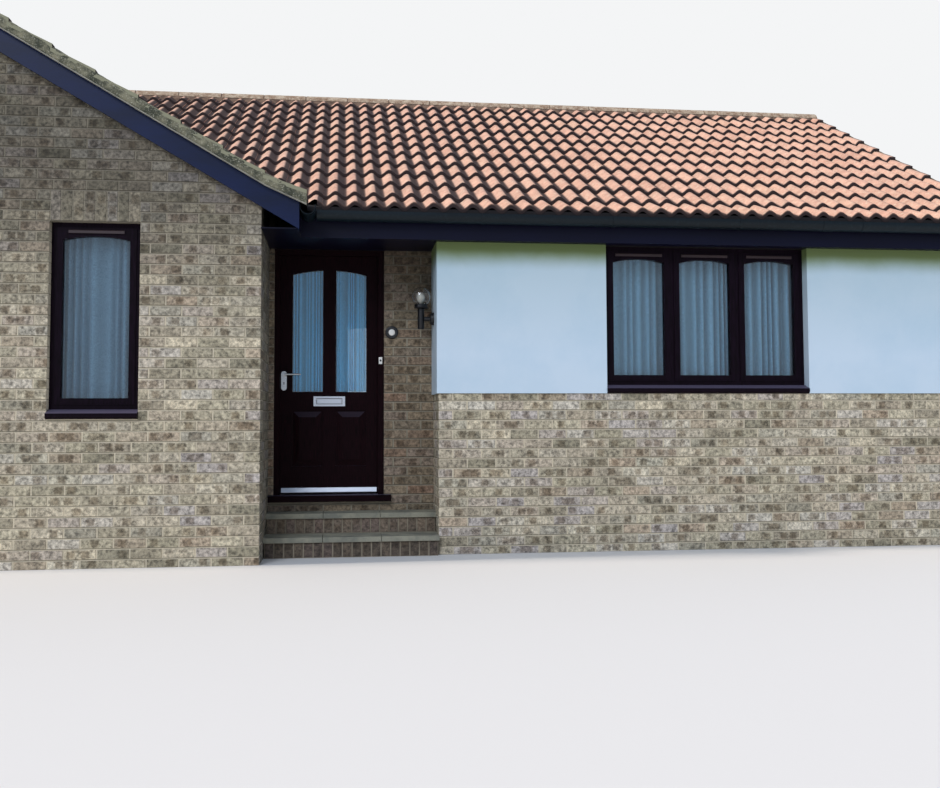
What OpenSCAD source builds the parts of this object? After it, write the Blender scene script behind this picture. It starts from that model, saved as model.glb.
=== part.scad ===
// Bungalow with a gable-fronted wing, a recessed porch and a rendered main front.
// Plan zero: X from the right-hand face of the wing, Y from the outer face of the porch wall.
// Every piece is then moved so that the origin lies under the middle of the whole house.

/* [Plan] */
// Width of the wing over its side walls
wing_w = 6100; // [5600:10:6800]
// How far the wing stands ahead of the main front, and behind the main rear
wing_projection = 400; // [320:5:600]
// Length of the main range from the wing to the right gable
main_len = 6020; // [5600:10:7500]
// Depth of the main range over its walls
main_depth = 6820; // [6400:10:7600]
// Depth of the porch behind the main front
porch_depth = 445; // [400:5:600]
// Width of the porch between its side walls
porch_w = 1338; // [1300:1:1500]
// Thickness of the outer walls
wall_t = 275; // [250:5:300]
// How far the render stands proud of the brickwork
render_t = 18; // [10:1:25]

/* [Levels] */
// Top of the floor above the ground at the steps
floor_z = 440; // [420:5:480]
// Thickness of the floor slab
floor_t = 150; // [100:10:200]
// Underside of the soffit boards
soffit_z = 2430; // [2400:5:2480]
// Bottom of the render, level with the top of the brick plinth
plinth_z = 1244; // [1000:1:1300]
// Underside of the ceiling
ceiling_z = 2700; // [2680:5:2730]
// Thickness of the ceiling with its joists
ceiling_t = 100; // [80:5:140]

/* [Roof] */
// Height of the tile edge at the eaves
eave_z = 2655; // [2635:5:2700]
// Height of the tiling at the ridge
ridge_z = 4585; // [4300:5:4900]
// Length on plan of the flatter bottom course
kick_run = 300; // [200:10:360]
// Rise of the flatter bottom course
kick_rise = 135; // [110:5:150]
// Upright thickness of rafters, battens and tiles
roof_t = 125; // [100:5:150]
// Upright thickness of the tiling over the fascia
tile_t = 39; // [35:1:39]
// Length of tile that each course shows, up the slope
course_gauge = 345; // [300:5:380]
// Step from each course down to the next
course_step = 20; // [10:1:25]
// Pans of the tiles below the line of the tiling
pan_drop = 3; // [1:1:6]
// Tile edge ahead of the main wall
main_eave_out = 174; // [160:1:260]
// Fascia face ahead of the main wall
main_fascia_out = 120; // [90:1:140]
// Tile edge beyond the side wall of the wing
wing_eave_out = 329; // [310:1:360]
// Fascia face beyond the side wall of the wing
wing_fascia_out = 275; // [240:1:290]
// Thickness of fascia boards
fascia_t = 20; // [16:1:25]
// Thickness of soffit boards
soffit_t = 9; // [6:1:12]
// How far the fascia hangs below the soffit
fascia_drop = 5; // [0:1:15]

/* [Verges] */
// Gap between a gable wall and the back of its bargeboard
barge_gap = 35; // [20:1:60]
// Thickness of the bargeboards
barge_t = 25; // [20:1:32]
// Upright depth of the bargeboards
barge_h = 170; // [140:5:190]
// How far the bargeboard lies below the tiling
barge_drop = 50; // [45:1:60]
// Tile edge beyond the face of the bargeboard
verge_lip = 30; // [20:1:50]
// Top of the verge tiles above the pans
verge_up = 38; // [20:1:45]
// Outer radius of the half-round ridge tiles
ridge_r = 115; // [100:1:130]
// How far the centre of the ridge tiles lies below the tiling
ridge_sink = 62; // [50:1:70]

/* [Gutters] */
// Outer radius of the gutter
gutter_r = 56; // [50:1:60]
// Wall of the gutter
gutter_t = 4; // [3:0.5:5]
// Height of the upright lips of the gutter
gutter_lip = 17; // [10:1:25]
// Top edge of the gutter
gutter_z = 2615; // [2590:1:2620]
// Stand-off of the gutter from the fascia
gutter_gap = 4; // [3:1:8]
// Spacing of the gutter brackets
bracket_pitch = 1030; // [700:10:1200]
// First bracket from the wing
bracket_x = 622; // [500:1:800]
// Width of a bracket strap
bracket_w = 26; // [15:1:40]
// Thickness of a bracket strap
bracket_t = 4; // [3:0.5:6]
// Middle of the gutter union from the wing
union_x = 4460; // [4300:1:4700]
// Width of the gutter union
union_w = 100; // [60:1:140]

/* [Doorway] */
// Left side of the door frame from the wing
door_x = 45; // [20:1:60]
// Width over the door frame
door_frame_w = 885; // [860:1:920]
// Face width of the frame members
jamb_w = 46; // [40:1:55]
// Depth of the frame from front to back
frame_d = 100; // [90:1:115]
// Set-back of the frame from the porch wall
frame_back = 20; // [10:1:40]
// Width of the door stop
stop_w = 12; // [10:1:16]
// Depth of the rebate that holds the door
rebate_d = 52; // [50:1:56]
// Underside of the timber cill of the door
door_cill_z = 385; // [370:1:400]
// Thickness of the timber cill
door_cill_t = 51; // [40:1:60]
// Nose of the cill ahead of the wall
door_cill_out = 50; // [30:1:70]
// Length of the cill beyond the right of the frame
door_cill_horn = 56; // [30:1:80]

/* [Door] */
// Thickness of the door
leaf_t = 44; // [40:1:46]
// Clearance on the hinge side and at the head
leaf_gap = 5; // [5:0.5:7]
// Clearance on the lock side
lock_gap = 7; // [7:0.5:9]
// Clearance between the bottom of the door and the floor
foot_gap = 6; // [6:1:12]
// Width of each glazed light
light_w = 247; // [220:1:255]
// Width of the middle rail between the lights
muntin_w = 105; // [90:1:130]
// Bottom of the lights above the ground
light_z = 1270; // [1250:1:1320]
// Top of the arch over the two lights
light_top_z = 2272; // [2200:1:2290]
// Rise of that arch from its outer corners
light_rise = 40; // [20:1:70]
// Thickness of the door glass
door_glass_t = 20; // [6:1:24]
// Bottom of the lower panels
panel_z = 667; // [640:1:700]
// Height of the lower panels
panel_h = 452; // [400:1:455]
// Depth of the panel recess on each face
panel_cut = 11; // [8:1:14]
// Width of the bevel round the raised field
bevel_w = 45; // [30:1:60]
// Flat margin between the recess and the bevel
panel_margin = 10; // [6:1:16]
// Depth of the aluminium weather bar
weather_bar_d = 15; // [10:1:20]
// Height of the weather bar
weather_bar_h = 37; // [25:1:45]
// Weather bar above the bottom of the door
weather_bar_up = 9; // [4:1:20]
// Weather bar inside each edge of the door
weather_bar_in = 18; // [12:1:30]

/* [Door furniture] */
// Width of the letter plate
letter_w = 255; // [240:1:280]
// Height of the letter plate
letter_h = 80; // [70:1:90]
// Bottom of the letter plate
letter_z = 1153; // [1150:1:1165]
// Width of the flap
flap_w = 200; // [170:1:215]
// Height of the flap
flap_h = 38; // [30:1:44]
// Clearance round the flap
flap_gap = 5; // [5:0.5:6]
// Width of the handle plate
handle_plate_w = 44; // [36:1:50]
// Height of the handle plate
handle_plate_h = 157; // [140:1:200]
// Bottom of the handle plate
handle_plate_z = 1281; // [1240:1:1300]
// Left side of the handle plate from the left side of the opening
handle_plate_x = 8; // [6:1:20]
// Radius of the hinge knuckles
knuckle_r = 7; // [6:0.5:8]
// Height of one hinge
hinge_h = 100; // [75:5:120]
// Radius of the hinge pins
hinge_pin_r = 3; // [2:0.5:4]
// Width of each hinge plate
hinge_plate_w = 28; // [20:1:32]
// Reach of the lever from its spindle
lever_l = 130; // [100:1:140]
// Height of the spindle above the bottom of the handle plate
lever_up = 130; // [100:1:140]
// Radius of the lever
lever_r = 8; // [6:0.5:10]
// Projection of the lever from the handle plate
lever_out = 45; // [35:1:55]
// Middle of the bell push above the ground
push_z = 1525; // [1400:1:1600]
// Middle of the round bell above the ground
bell_z = 1754; // [1600:1:1850]
// Middle of the round bell from the right side of the frame
bell_x = 63; // [55:1:90]
// Radius of the round bell
bell_r = 43; // [35:1:50]

/* [Porch lamp] */
// Middle of the globe above the ground
globe_z = 2027; // [1950:1:2060]
// Radius of the glass globe
globe_r = 78; // [60:1:85]
// Distance of the globe from the rendered wall
lamp_reach = 103; // [95:1:130]
// Distance of the lamp ahead of the porch wall
lamp_y = 200; // [150:1:300]
// Height of the bracket arm above the ground
lamp_arm_z = 1853; // [1830:1:1900]

/* [Windows] */
// Width of the narrow windows
narrow_w = 626; // [580:1:680]
// Distance of the narrow windows from the corners of the wing
narrow_in = 853; // [700:1:1000]
// Head of the narrow windows
narrow_head_z = 2461; // [2430:1:2480]
// Height of the narrow window openings
narrow_h = 1411; // [1300:1:1500]
// Left side of the three-light window from the wing
wide_x = 2676; // [2500:1:2800]
// Width of the three-light window
wide_w = 1684; // [1600:1:1800]
// Set-back of the window frames from the wall face
window_back = 60; // [40:1:90]
// Further set-back of the front three-light window
wide_window_back = 30; // [0:1:50]
// Depth of the window frames
window_d = 70; // [60:1:90]
// Face width of the fixed frame
window_frame_w = 34; // [25:1:45]
// Face width of the opening sashes
sash_w = 46; // [40:1:55]
// Width of the mullions of the three-light window
mullion_w = 36; // [30:1:50]
// Height of the timber window cills
window_cill_h = 69; // [50:1:80]
// Nose of the window cills ahead of the wall
window_cill_out = 40; // [25:1:60]
// Rise of the arched head of each pane
pane_rise = 28; // [15:1:45]
// Height of the top rail of a sash over the crown of the arch
sash_head = 62; // [50:1:80]
// Thickness of the window glass
glass_t = 20; // [4:1:24]
// Length of the slot vents on the sash heads
vent_l = 388; // [300:1:400]
// Height of the slot vents
vent_h = 24; // [15:1:30]
// Left side of the narrow rear window from the wing
rear_narrow_x = 600; // [400:10:1200]
// Gap between the glass and the net curtains
curtain_gap = 40; // [25:5:80]
// Depth taken by the gathered net curtains
curtain_t = 26; // [15:1:40]

/* [Steps] */
// Rise of each step
step_rise = 155; // [145:1:160]
// Thickness of the tread slabs
slab_t = 38; // [30:1:50]
// Front of the upper tread ahead of the porch wall
upper_tread = 250; // [220:5:280]
// Front of the lower tread ahead of the upper tread
lower_tread = 270; // [240:5:300]
// Nose of the treads ahead of the brick risers
tread_nose = 20; // [10:1:30]
// Mortar joint at the sides of the steps and between their slabs
step_joint = 4; // [3:1:8]

/* [Hidden] */
$fn = 48;

// Plan lines
wing_front_y = -porch_depth - wing_projection;
wing_rear_y = main_depth - porch_depth + wing_projection;
main_front_y = -porch_depth;
main_rear_y = main_depth - porch_depth;
ridge_y = main_depth / 2 - porch_depth;
ridge_x = -wing_w / 2;
eave_y = main_front_y - main_eave_out;
main_run = ridge_y - eave_y;
wing_run = wing_w / 2 + wing_eave_out;
fascia_in = main_eave_out - main_fascia_out + fascia_t;
wing_fascia_in = wing_eave_out - wing_fascia_out + fascia_t;
verge_out = barge_gap + barge_t + verge_lip;
gutter_out = gutter_gap + 2 * gutter_r + bracket_t - 1;
mid_x = ((main_len + verge_out) + (-wing_w - wing_fascia_out - gutter_out)) / 2;
mid_y = ridge_y;
cut_reach = 500;
tall = ridge_z + cut_reach;
seat_gap = 0.2;

// Doorway lines
door_right = door_x + door_frame_w;
cill_top = door_cill_z + door_cill_t;
leaf_y = frame_back + frame_d - rebate_d + leaf_gap;
open_x0 = door_x + jamb_w;
open_x1 = door_right - jamb_w;
open_mid = (open_x0 + open_x1) / 2;
leaf_x0 = open_x0 - stop_w + lock_gap;
leaf_x1 = open_x1 + stop_w - leaf_gap;
leaf_z0 = floor_z + foot_gap;
leaf_z1 = soffit_z - jamb_w + stop_w - leaf_gap;
light_x0 = open_mid - muntin_w / 2 - light_w;
light_x1 = open_mid + muntin_w / 2;
light_half = muntin_w / 2 + light_w;
light_arch_r = (light_half * light_half + light_rise * light_rise) / (2 * light_rise);
letter_t = 4;
slot_w = flap_w + 2 * flap_gap;
slot_h = flap_h + 2 * flap_gap;
slot_z = letter_z + (letter_h - slot_h) / 2;
flap_x0 = open_mid - flap_w / 2;
flap_z1 = slot_z + slot_h - flap_gap;
handle_t = 4;
key_z = 62;
key_r = 5;
handle_x0 = open_x0 + handle_plate_x;
spindle_x = handle_x0 + handle_plate_w / 2;
spindle_z = handle_plate_z + lever_up;
run_gap = 0.3;
pin_play = 0.05;
push_in = 28;
push_w = 28;
push_t = 9;
bell_t = 18;
bell_rim_w = 8;
lamp_plate_r = 48;
lamp_plate_t = 12;
lamp_arm_r = 13;
lamp_stem_r = 16;
lamp_stem_drop = 85;
collar_h = 34;
glass_wall = 3;
neck_r = 48;
neck_drop = sqrt(globe_r * globe_r - neck_r * neck_r);
pin_r = 2;
lug_t = 8;
lug_r = 5;
flap_t = 3;
flap_pin_z = flap_z1 - 2 * pin_r;
flap_pin_y = leaf_y + flap_t + 1;
door_slot_w = slot_w + 2 * lug_t + 2;
hinge_x = leaf_x1 + leaf_gap / 2;
hinge_y = frame_back + frame_d + knuckle_r;
hinge_plate_t = 2.5;
knuckle_lap = 0.5;
hinge_in = 200;
hinge_zs = [leaf_z0 + hinge_in, (leaf_z0 + leaf_z1) / 2, leaf_z1 - hinge_in - hinge_h];

// Window lines
narrow_z0 = narrow_head_z - narrow_h;
wide_pitch = (wide_w - 2 * window_frame_w + mullion_w) / 3;
wide_sash_w = wide_pitch - mullion_w;
narrow_sash_w = narrow_w - 2 * window_frame_w;
wide_front_y = main_front_y - render_t + window_back + wide_window_back;
sash_proud = 8;
sash_d = window_d - 10;
cill_nose_h = 40;
cill_drip = 14;
vent_t = 12;
curtain_in = 5;
narrow_left_x = -wing_w + narrow_in;
narrow_right_x = -narrow_in - narrow_w;

// Height of the tiling at a distance d in from the tile edge of a slope
function tiling_z(d, run) = d < kick_run
    ? eave_z + d * kick_rise / kick_run
    : eave_z + kick_rise + (d - kick_run) * (ridge_z - eave_z - kick_rise) / (run - kick_run);

function straight_slope(run) = (ridge_z - eave_z - kick_rise) / (run - kick_run);

// Plan length of one course, and the number of courses above the bottom one
function course_plan(run) = course_gauge * cos(atan(straight_slope(run)));
function course_count(run) = floor((run - kick_run - ridge_r) / course_plan(run)) + 1;

// Front of course k, and the ridge as the end of the last
function course_front(k, run) = k == 0 ? 0
    : k > course_count(run) ? run
    : kick_run + (k - 1) * course_plan(run);

// Stepped line over the pans of all courses, raised by up
function top_line(run, up) = [for (k = [0 : course_count(run)], end = [0, 1])
    [course_front(k + end, run),
        tiling_z(course_front(k + end, run), run) - pan_drop - end * course_step + up]];

// The same line over both slopes, from one tile edge to the other
function roof_line(run, up) = let (line = top_line(run, up), last = len(line) - 1) concat(
    [for (p = line) [p[0] - run, p[1]]],
    [for (i = [1 : last]) [run - line[last - i][0], line[last - i][1]]]);

// Section of one slope, from the tile edge to the ridge
function slope_section(run, inner) = concat(top_line(run, 0), [
    [run, ridge_z - roof_t],
    [kick_run, eave_z + kick_rise - roof_t],
    [inner, tiling_z(inner, run) - roof_t],
    [inner, tiling_z(inner, run) - tile_t],
    [0, eave_z - tile_t]]);

// Outline of the space under both slopes, lowered by drop
function roof_outline(run, drop) = [
    [-run, -1], [run, -1],
    [run, eave_z - drop],
    [run - kick_run, eave_z + kick_rise - drop],
    [0, ridge_z - drop],
    [kick_run - run, eave_z + kick_rise - drop],
    [-run, eave_z - drop]];

// Chevron band that follows both slopes between two drops below the tiling
function chevron(run, cut, top, bottom) = [
    [cut, tiling_z(run - cut, run) - top],
    [run - kick_run, eave_z + kick_rise - top],
    [0, ridge_z - top],
    [kick_run - run, eave_z + kick_rise - top],
    [-cut, tiling_z(run - cut, run) - top],
    [-cut, eave_z + kick_rise - bottom - (cut - run + kick_run) * straight_slope(run)],
    [0, ridge_z - bottom],
    [cut, eave_z + kick_rise - bottom - (cut - run + kick_run) * straight_slope(run)]];

module placed() {
    translate([-mid_x, -mid_y, 0]) children();
}

module block(x0, x1, y0, y1, z0, z1) {
    translate([x0, y0, z0]) cube([x1 - x0, y1 - y0, z1 - z0]);
}

// Extrude a drawing of Y and Z along X
module along_x(x0, x1) {
    translate([x0, 0, 0]) rotate([90, 0, 90]) linear_extrude(x1 - x0) children();
}

// Extrude a drawing of X and Z along Y
module along_y(y0, y1) {
    translate([0, y1, 0]) rotate([90, 0, 0]) linear_extrude(y1 - y0) children();
}

// Everything under the roof, lowered by drop
module under_roof(drop) {
    along_y(wing_front_y - cut_reach, wing_rear_y + cut_reach)
        translate([ridge_x, 0]) polygon(roof_outline(wing_run, drop));
    along_x(ridge_x, main_len + cut_reach)
        translate([ridge_y, 0]) polygon(roof_outline(main_run, drop));
}

module below_rafters() {
    intersection() {
        children();
        under_roof(roof_t);
    }
}

module narrow_hole(x, y0, y1) {
    block(x, x + narrow_w, y0 - 1, y1 + 1, narrow_z0, narrow_head_z);
}

module wing_front_wall() {
    color("#a08c66") placed() difference() {
        below_rafters() block(-wing_w, 0, wing_front_y, wing_front_y + wall_t, 0, tall);
        for (x = [narrow_left_x, narrow_right_x])
            narrow_hole(x, wing_front_y, wing_front_y + wall_t);
    }
}

module wing_rear_wall() {
    color("#a08c66") placed() difference() {
        below_rafters() block(-wing_w, 0, wing_rear_y - wall_t, wing_rear_y, 0, tall);
        for (x = [narrow_left_x, narrow_right_x])
            narrow_hole(x, wing_rear_y - wall_t, wing_rear_y);
    }
}

module wing_left_wall() {
    color("#a08c66") placed() below_rafters()
        block(-wing_w, wall_t - wing_w, wing_front_y + wall_t, wing_rear_y - wall_t, 0, tall);
}

module wing_return_wall() {
    color("#a08c66") placed() below_rafters() linear_extrude(tall) polygon([
        [-wall_t, wing_front_y + wall_t], [0, wing_front_y + wall_t],
        [0, 0], [door_x, 0], [door_x, wall_t], [-wall_t, wall_t]]);
}

module porch_wall() {
    color("#a08c66") placed() block(door_right, porch_w, 0, wall_t, 0, soffit_z);
}

module porch_wall_base() {
    color("#a08c66") placed() along_x(door_x, door_right) polygon([
        [0, 0], [wall_t, 0], [wall_t, floor_z], [frame_back + frame_d, floor_z],
        [frame_back + frame_d, door_cill_z], [0, door_cill_z]]);
}

module porch_wall_head() {
    color("#a08c66") placed() below_rafters() block(door_x, porch_w, 0, wall_t, soffit_z, tall);
}

// Plan of the main front wall with its return into the porch
module front_wall_plan(proud, x1) {
    polygon([
        [porch_w - proud, main_front_y - proud], [x1, main_front_y - proud],
        [x1, main_front_y + wall_t], [porch_w + wall_t, main_front_y + wall_t],
        [porch_w + wall_t, wall_t], [porch_w, wall_t], [porch_w, 0], [porch_w - proud, 0]]);
}

module front_plinth_wall() {
    color("#a08c66") placed() linear_extrude(plinth_z) front_wall_plan(0, main_len);
}

module front_render_left() {
    color("#eceae2") placed() translate([0, 0, plinth_z])
        linear_extrude(soffit_z - plinth_z) front_wall_plan(render_t, wide_x);
}

module front_render_right() {
    color("#eceae2") placed()
        block(wide_x + wide_w, main_len, main_front_y - render_t, main_front_y + wall_t,
            plinth_z, soffit_z);
}

module front_wall_head() {
    color("#a08c66") placed() below_rafters() translate([0, 0, soffit_z])
        linear_extrude(tall) front_wall_plan(0, main_len);
}

module right_gable_wall() {
    color("#a08c66") placed() below_rafters()
        block(main_len - wall_t, main_len, main_front_y + wall_t, main_rear_y - wall_t, 0, tall);
}

module rear_wall() {
    color("#a08c66") placed() difference() {
        below_rafters() linear_extrude(tall) polygon([
            [-wall_t, main_rear_y - wall_t], [main_len, main_rear_y - wall_t],
            [main_len, main_rear_y], [0, main_rear_y], [0, wing_rear_y - wall_t],
            [-wall_t, wing_rear_y - wall_t]]);
        block(wide_x, wide_x + wide_w, main_rear_y - wall_t - 1, main_rear_y + 1,
            plinth_z, soffit_z);
        narrow_hole(rear_narrow_x, main_rear_y - wall_t, main_rear_y);
    }
}

// Plan of the rooms between the inner faces of the walls
module room_plan() {
    polygon([
        [wall_t - wing_w, wing_front_y + wall_t], [-wall_t, wing_front_y + wall_t],
        [-wall_t, wall_t], [porch_w + wall_t, wall_t],
        [porch_w + wall_t, main_front_y + wall_t],
        [main_len - wall_t, main_front_y + wall_t],
        [main_len - wall_t, main_rear_y - wall_t], [-wall_t, main_rear_y - wall_t],
        [-wall_t, wing_rear_y - wall_t], [wall_t - wing_w, wing_rear_y - wall_t]]);
}

module floor_slab() {
    color("#8d8d88") placed() translate([0, 0, floor_z - floor_t])
        linear_extrude(floor_t) room_plan();
}

module ceiling() {
    color("#f2f0ea") placed() below_rafters() translate([0, 0, ceiling_z])
        linear_extrude(ceiling_t) room_plan();
}

// Plan of the front half of the main roof, right of the valley
module front_slope_plan() {
    polygon([
        [wing_eave_out, eave_y], [wing_eave_out - kick_run, eave_y + kick_run],
        [ridge_x, ridge_y], [main_len + barge_gap, ridge_y],
        [main_len + barge_gap, eave_y]]);
}

module main_roof_front() {
    color("#b5705a") placed() intersection() {
        along_x(ridge_x, main_len + barge_gap)
            translate([eave_y, 0]) polygon(slope_section(main_run, fascia_in));
        linear_extrude(tall) front_slope_plan();
    }
}

// Mirror a piece from the front to the rear of the ridge line
module to_rear() {
    translate([0, 2 * ridge_y, 0]) mirror([0, 1, 0]) children();
}

module main_roof_rear() {
    color("#b5705a") placed() to_rear() intersection() {
        along_x(ridge_x, main_len + barge_gap)
            translate([eave_y, 0]) polygon(slope_section(main_run, fascia_in));
        linear_extrude(tall) front_slope_plan();
    }
}

module wing_roof_left() {
    color("#b5705a") placed() along_y(wing_front_y - barge_gap, wing_rear_y + barge_gap)
        translate([-wing_w - wing_eave_out, 0]) polygon(slope_section(wing_run, wing_fascia_in));
}

module wing_right_slope() {
    intersection() {
        along_y(wing_front_y - barge_gap, ridge_y) translate([wing_eave_out, 0])
            mirror([1, 0]) polygon(slope_section(wing_run, wing_fascia_in));
        linear_extrude(tall) polygon([
            [ridge_x, wing_front_y - barge_gap], [wing_eave_out, wing_front_y - barge_gap],
            [wing_eave_out, eave_y], [wing_eave_out - kick_run, eave_y + kick_run],
            [ridge_x, ridge_y]]);
    }
}

module wing_roof_right_front() {
    color("#b5705a") placed() wing_right_slope();
}

module wing_roof_right_rear() {
    color("#b5705a") placed() to_rear() wing_right_slope();
}

// All that lies under the tiles of a roof, with the gap that the ridge tiles sit over
module below_tiles(run) {
    for (side = [-seat_gap, seat_gap])
        translate([side, 0])
            polygon(concat(roof_line(run, seat_gap), [[run, 0], [-run, 0]]));
}

// Half-round tiles over both ridges, seated on the slopes and verges
module ridge_tiles() {
    color("#a5917a") placed() difference() {
        union() {
            along_x(ridge_x, main_len + verge_out)
                translate([ridge_y, ridge_z - ridge_sink]) circle(ridge_r);
            along_y(wing_front_y - verge_out, wing_rear_y + verge_out)
                translate([ridge_x, ridge_z - ridge_sink]) circle(ridge_r);
        }
        along_y(wing_front_y - cut_reach, wing_rear_y + cut_reach) translate([ridge_x, 0])
            below_tiles(wing_run);
        along_x(ridge_x, main_len + cut_reach) translate([ridge_y, 0]) below_tiles(main_run);
        verges();
    }
}

module front_fascia() {
    color("#2a1a1c") placed()
        block(wing_fascia_out, main_len + barge_gap, main_front_y - main_fascia_out,
            main_front_y - main_fascia_out + fascia_t, soffit_z - fascia_drop,
            tiling_z(fascia_in - fascia_t, main_run) - tile_t);
}

module front_soffit() {
    fascia_back = main_front_y - main_fascia_out + fascia_t;
    color("#2a1a1c") placed() translate([0, 0, soffit_z]) linear_extrude(soffit_t) polygon([
        [0, wing_front_y - barge_gap],
        [wing_fascia_out - fascia_t, wing_front_y - barge_gap],
        [wing_fascia_out - fascia_t, fascia_back],
        [main_len + barge_gap, fascia_back], [main_len + barge_gap, main_front_y],
        [porch_w, main_front_y], [porch_w, 0], [0, 0]]);
}

module rear_eaves_boards() {
    color("#2a1a1c") placed() to_rear() union() {
        block(wing_fascia_out, main_len + barge_gap, main_front_y - main_fascia_out,
            main_front_y - main_fascia_out + fascia_t, soffit_z - fascia_drop,
            tiling_z(fascia_in - fascia_t, main_run) - tile_t);
        block(0, main_len + barge_gap, main_front_y - main_fascia_out + fascia_t,
            main_front_y, soffit_z, soffit_z + soffit_t);
    }
}

// Fascia and soffit along one side of the wing, between two lines of Y
module wing_side_boards(y0, y1, side) {
    fascia_top = tiling_z(wing_fascia_in - fascia_t, wing_run) - tile_t;
    translate([side < 0 ? -wing_w : 0, 0, 0]) mirror([side < 0 ? 1 : 0, 0, 0]) {
        block(wing_fascia_out - fascia_t, wing_fascia_out, y0, y1,
            soffit_z - fascia_drop, fascia_top);
        if (side < 0)
            block(0, wing_fascia_out - fascia_t, y0, y1, soffit_z, soffit_z + soffit_t);
    }
}

module wing_eaves_boards() {
    color("#2a1a1c") placed() {
        wing_side_boards(wing_front_y - barge_gap, wing_rear_y + barge_gap, -1);
        wing_side_boards(wing_front_y - barge_gap,
            main_front_y - main_fascia_out + fascia_t, 1);
        to_rear() {
            wing_side_boards(wing_front_y - barge_gap,
                main_front_y - main_fascia_out + fascia_t, 1);
            block(0, wing_fascia_out - fascia_t, wing_front_y - barge_gap,
                main_front_y - main_fascia_out + fascia_t, soffit_z, soffit_z + soffit_t);
        }
    }
}

module wing_barge() {
    along_y(wing_front_y - barge_gap - barge_t, wing_front_y - barge_gap)
        translate([ridge_x, 0]) polygon(chevron(wing_run,
            wing_w / 2 + wing_fascia_out, barge_drop, barge_drop + barge_h));
}

module wing_bargeboards() {
    color("#232b45") placed() {
        wing_barge();
        to_rear() wing_barge();
    }
}

module gable_bargeboards() {
    color("#232b45") placed() along_x(main_len + barge_gap, main_len + barge_gap + barge_t)
        translate([ridge_y, 0]) polygon(chevron(main_run,
            main_depth / 2 + main_fascia_out, barge_drop, barge_drop + barge_h));
}

// Mortar and tile edges over a bargeboard
module verge_band(run) {
    polygon(concat(roof_line(run, verge_up), [
        [run, eave_z - tile_t], [run - kick_run, eave_z + kick_rise - barge_drop],
        [0, ridge_z - barge_drop], [kick_run - run, eave_z + kick_rise - barge_drop],
        [-run, eave_z - tile_t]]));
}

module verges() {
    along_y(wing_front_y - verge_out, wing_front_y - barge_gap)
        translate([ridge_x, 0]) verge_band(wing_run);
    along_y(wing_rear_y + barge_gap, wing_rear_y + verge_out)
        translate([ridge_x, 0]) verge_band(wing_run);
    along_x(main_len + barge_gap, main_len + verge_out)
        translate([ridge_y, 0]) verge_band(main_run);
}

module verge_bedding() {
    color("#9c9a80") placed() verges();
}

// Section of the channel, drawn from the fascia face
module gutter_section(grow) {
    translate([-gutter_gap - gutter_r, gutter_z - gutter_lip]) difference() {
        union() {
            circle(gutter_r + grow);
            translate([-gutter_r - grow, 0]) square([2 * (gutter_r + grow), gutter_lip]);
        }
        circle(gutter_r - gutter_t);
        translate([gutter_t - gutter_r, 0])
            square([2 * (gutter_r - gutter_t), gutter_r + gutter_lip]);
        translate([-2 * gutter_r, gutter_lip]) square([4 * gutter_r, 2 * gutter_r]);
    }
}

module main_gutter_run() {
    x1 = main_len + barge_gap;
    translate([0, main_front_y - main_fascia_out, 0]) {
        along_x(wing_fascia_out + gutter_out + 1, x1) gutter_section(0);
        for (x = [bracket_x : bracket_pitch : x1 - bracket_w]) {
            along_x(x, x + bracket_w) gutter_section(bracket_t - 1);
            block(x, x + bracket_w, -gutter_gap - gutter_t, 0, gutter_z - gutter_lip, gutter_z);
        }
        along_x(union_x - union_w / 2, union_x + union_w / 2) gutter_section(bracket_t - 1);
    }
}

module main_gutters() {
    color("#1f2a2e") placed() {
        main_gutter_run();
        to_rear() main_gutter_run();
    }
}

module wing_gutter_run(y0, y1, x, side) {
    translate([x, 0, 0]) mirror([side > 0 ? 1 : 0, 0, 0]) {
        along_y(y0, y1) gutter_section(0);
        for (y = [y0 + bracket_w : bracket_pitch : y1 - bracket_w])
            translate([0, y, 0]) {
                along_y(0, bracket_w) gutter_section(bracket_t - 1);
                block(-gutter_gap - gutter_t, 0, 0, bracket_w,
                    gutter_z - gutter_lip, gutter_z);
            }
    }
}

module wing_gutters() {
    y0 = wing_front_y - barge_gap;
    y1 = main_front_y - main_fascia_out;
    color("#1f2a2e") placed() {
        wing_gutter_run(y0, wing_rear_y + barge_gap, -wing_w - wing_fascia_out, -1);
        wing_gutter_run(y0, y1, wing_fascia_out, 1);
        to_rear() wing_gutter_run(y0, y1, wing_fascia_out, 1);
    }
}

module door_frame() {
    y0 = frame_back;
    y1 = frame_back + frame_d;
    color("#2b181b") placed() difference() {
        block(door_x, door_right, y0, y1, cill_top, soffit_z);
        block(open_x0, open_x1, y0 - 1, y1 + 1, cill_top - 1, soffit_z - jamb_w);
        block(open_x0 - stop_w, open_x1 + stop_w, y1 - rebate_d, y1 + 1,
            cill_top - 1, soffit_z - jamb_w + stop_w);
    }
}

module door_cill() {
    color("#2b181b") placed() union() {
        block(door_x, door_right, -1, frame_back + frame_d, door_cill_z, cill_top);
        block(step_joint, door_right + door_cill_horn, -door_cill_out, 0,
            door_cill_z, cill_top);
    }
}

// The two arched lights, drawn in X and Z
module light_shapes() {
    intersection() {
        union() {
            translate([light_x0, light_z]) square([light_w, light_top_z - light_z]);
            translate([light_x1, light_z]) square([light_w, light_top_z - light_z]);
        }
        translate([open_mid, light_top_z - light_arch_r]) circle(light_arch_r, $fn = 180);
    }
}

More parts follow.
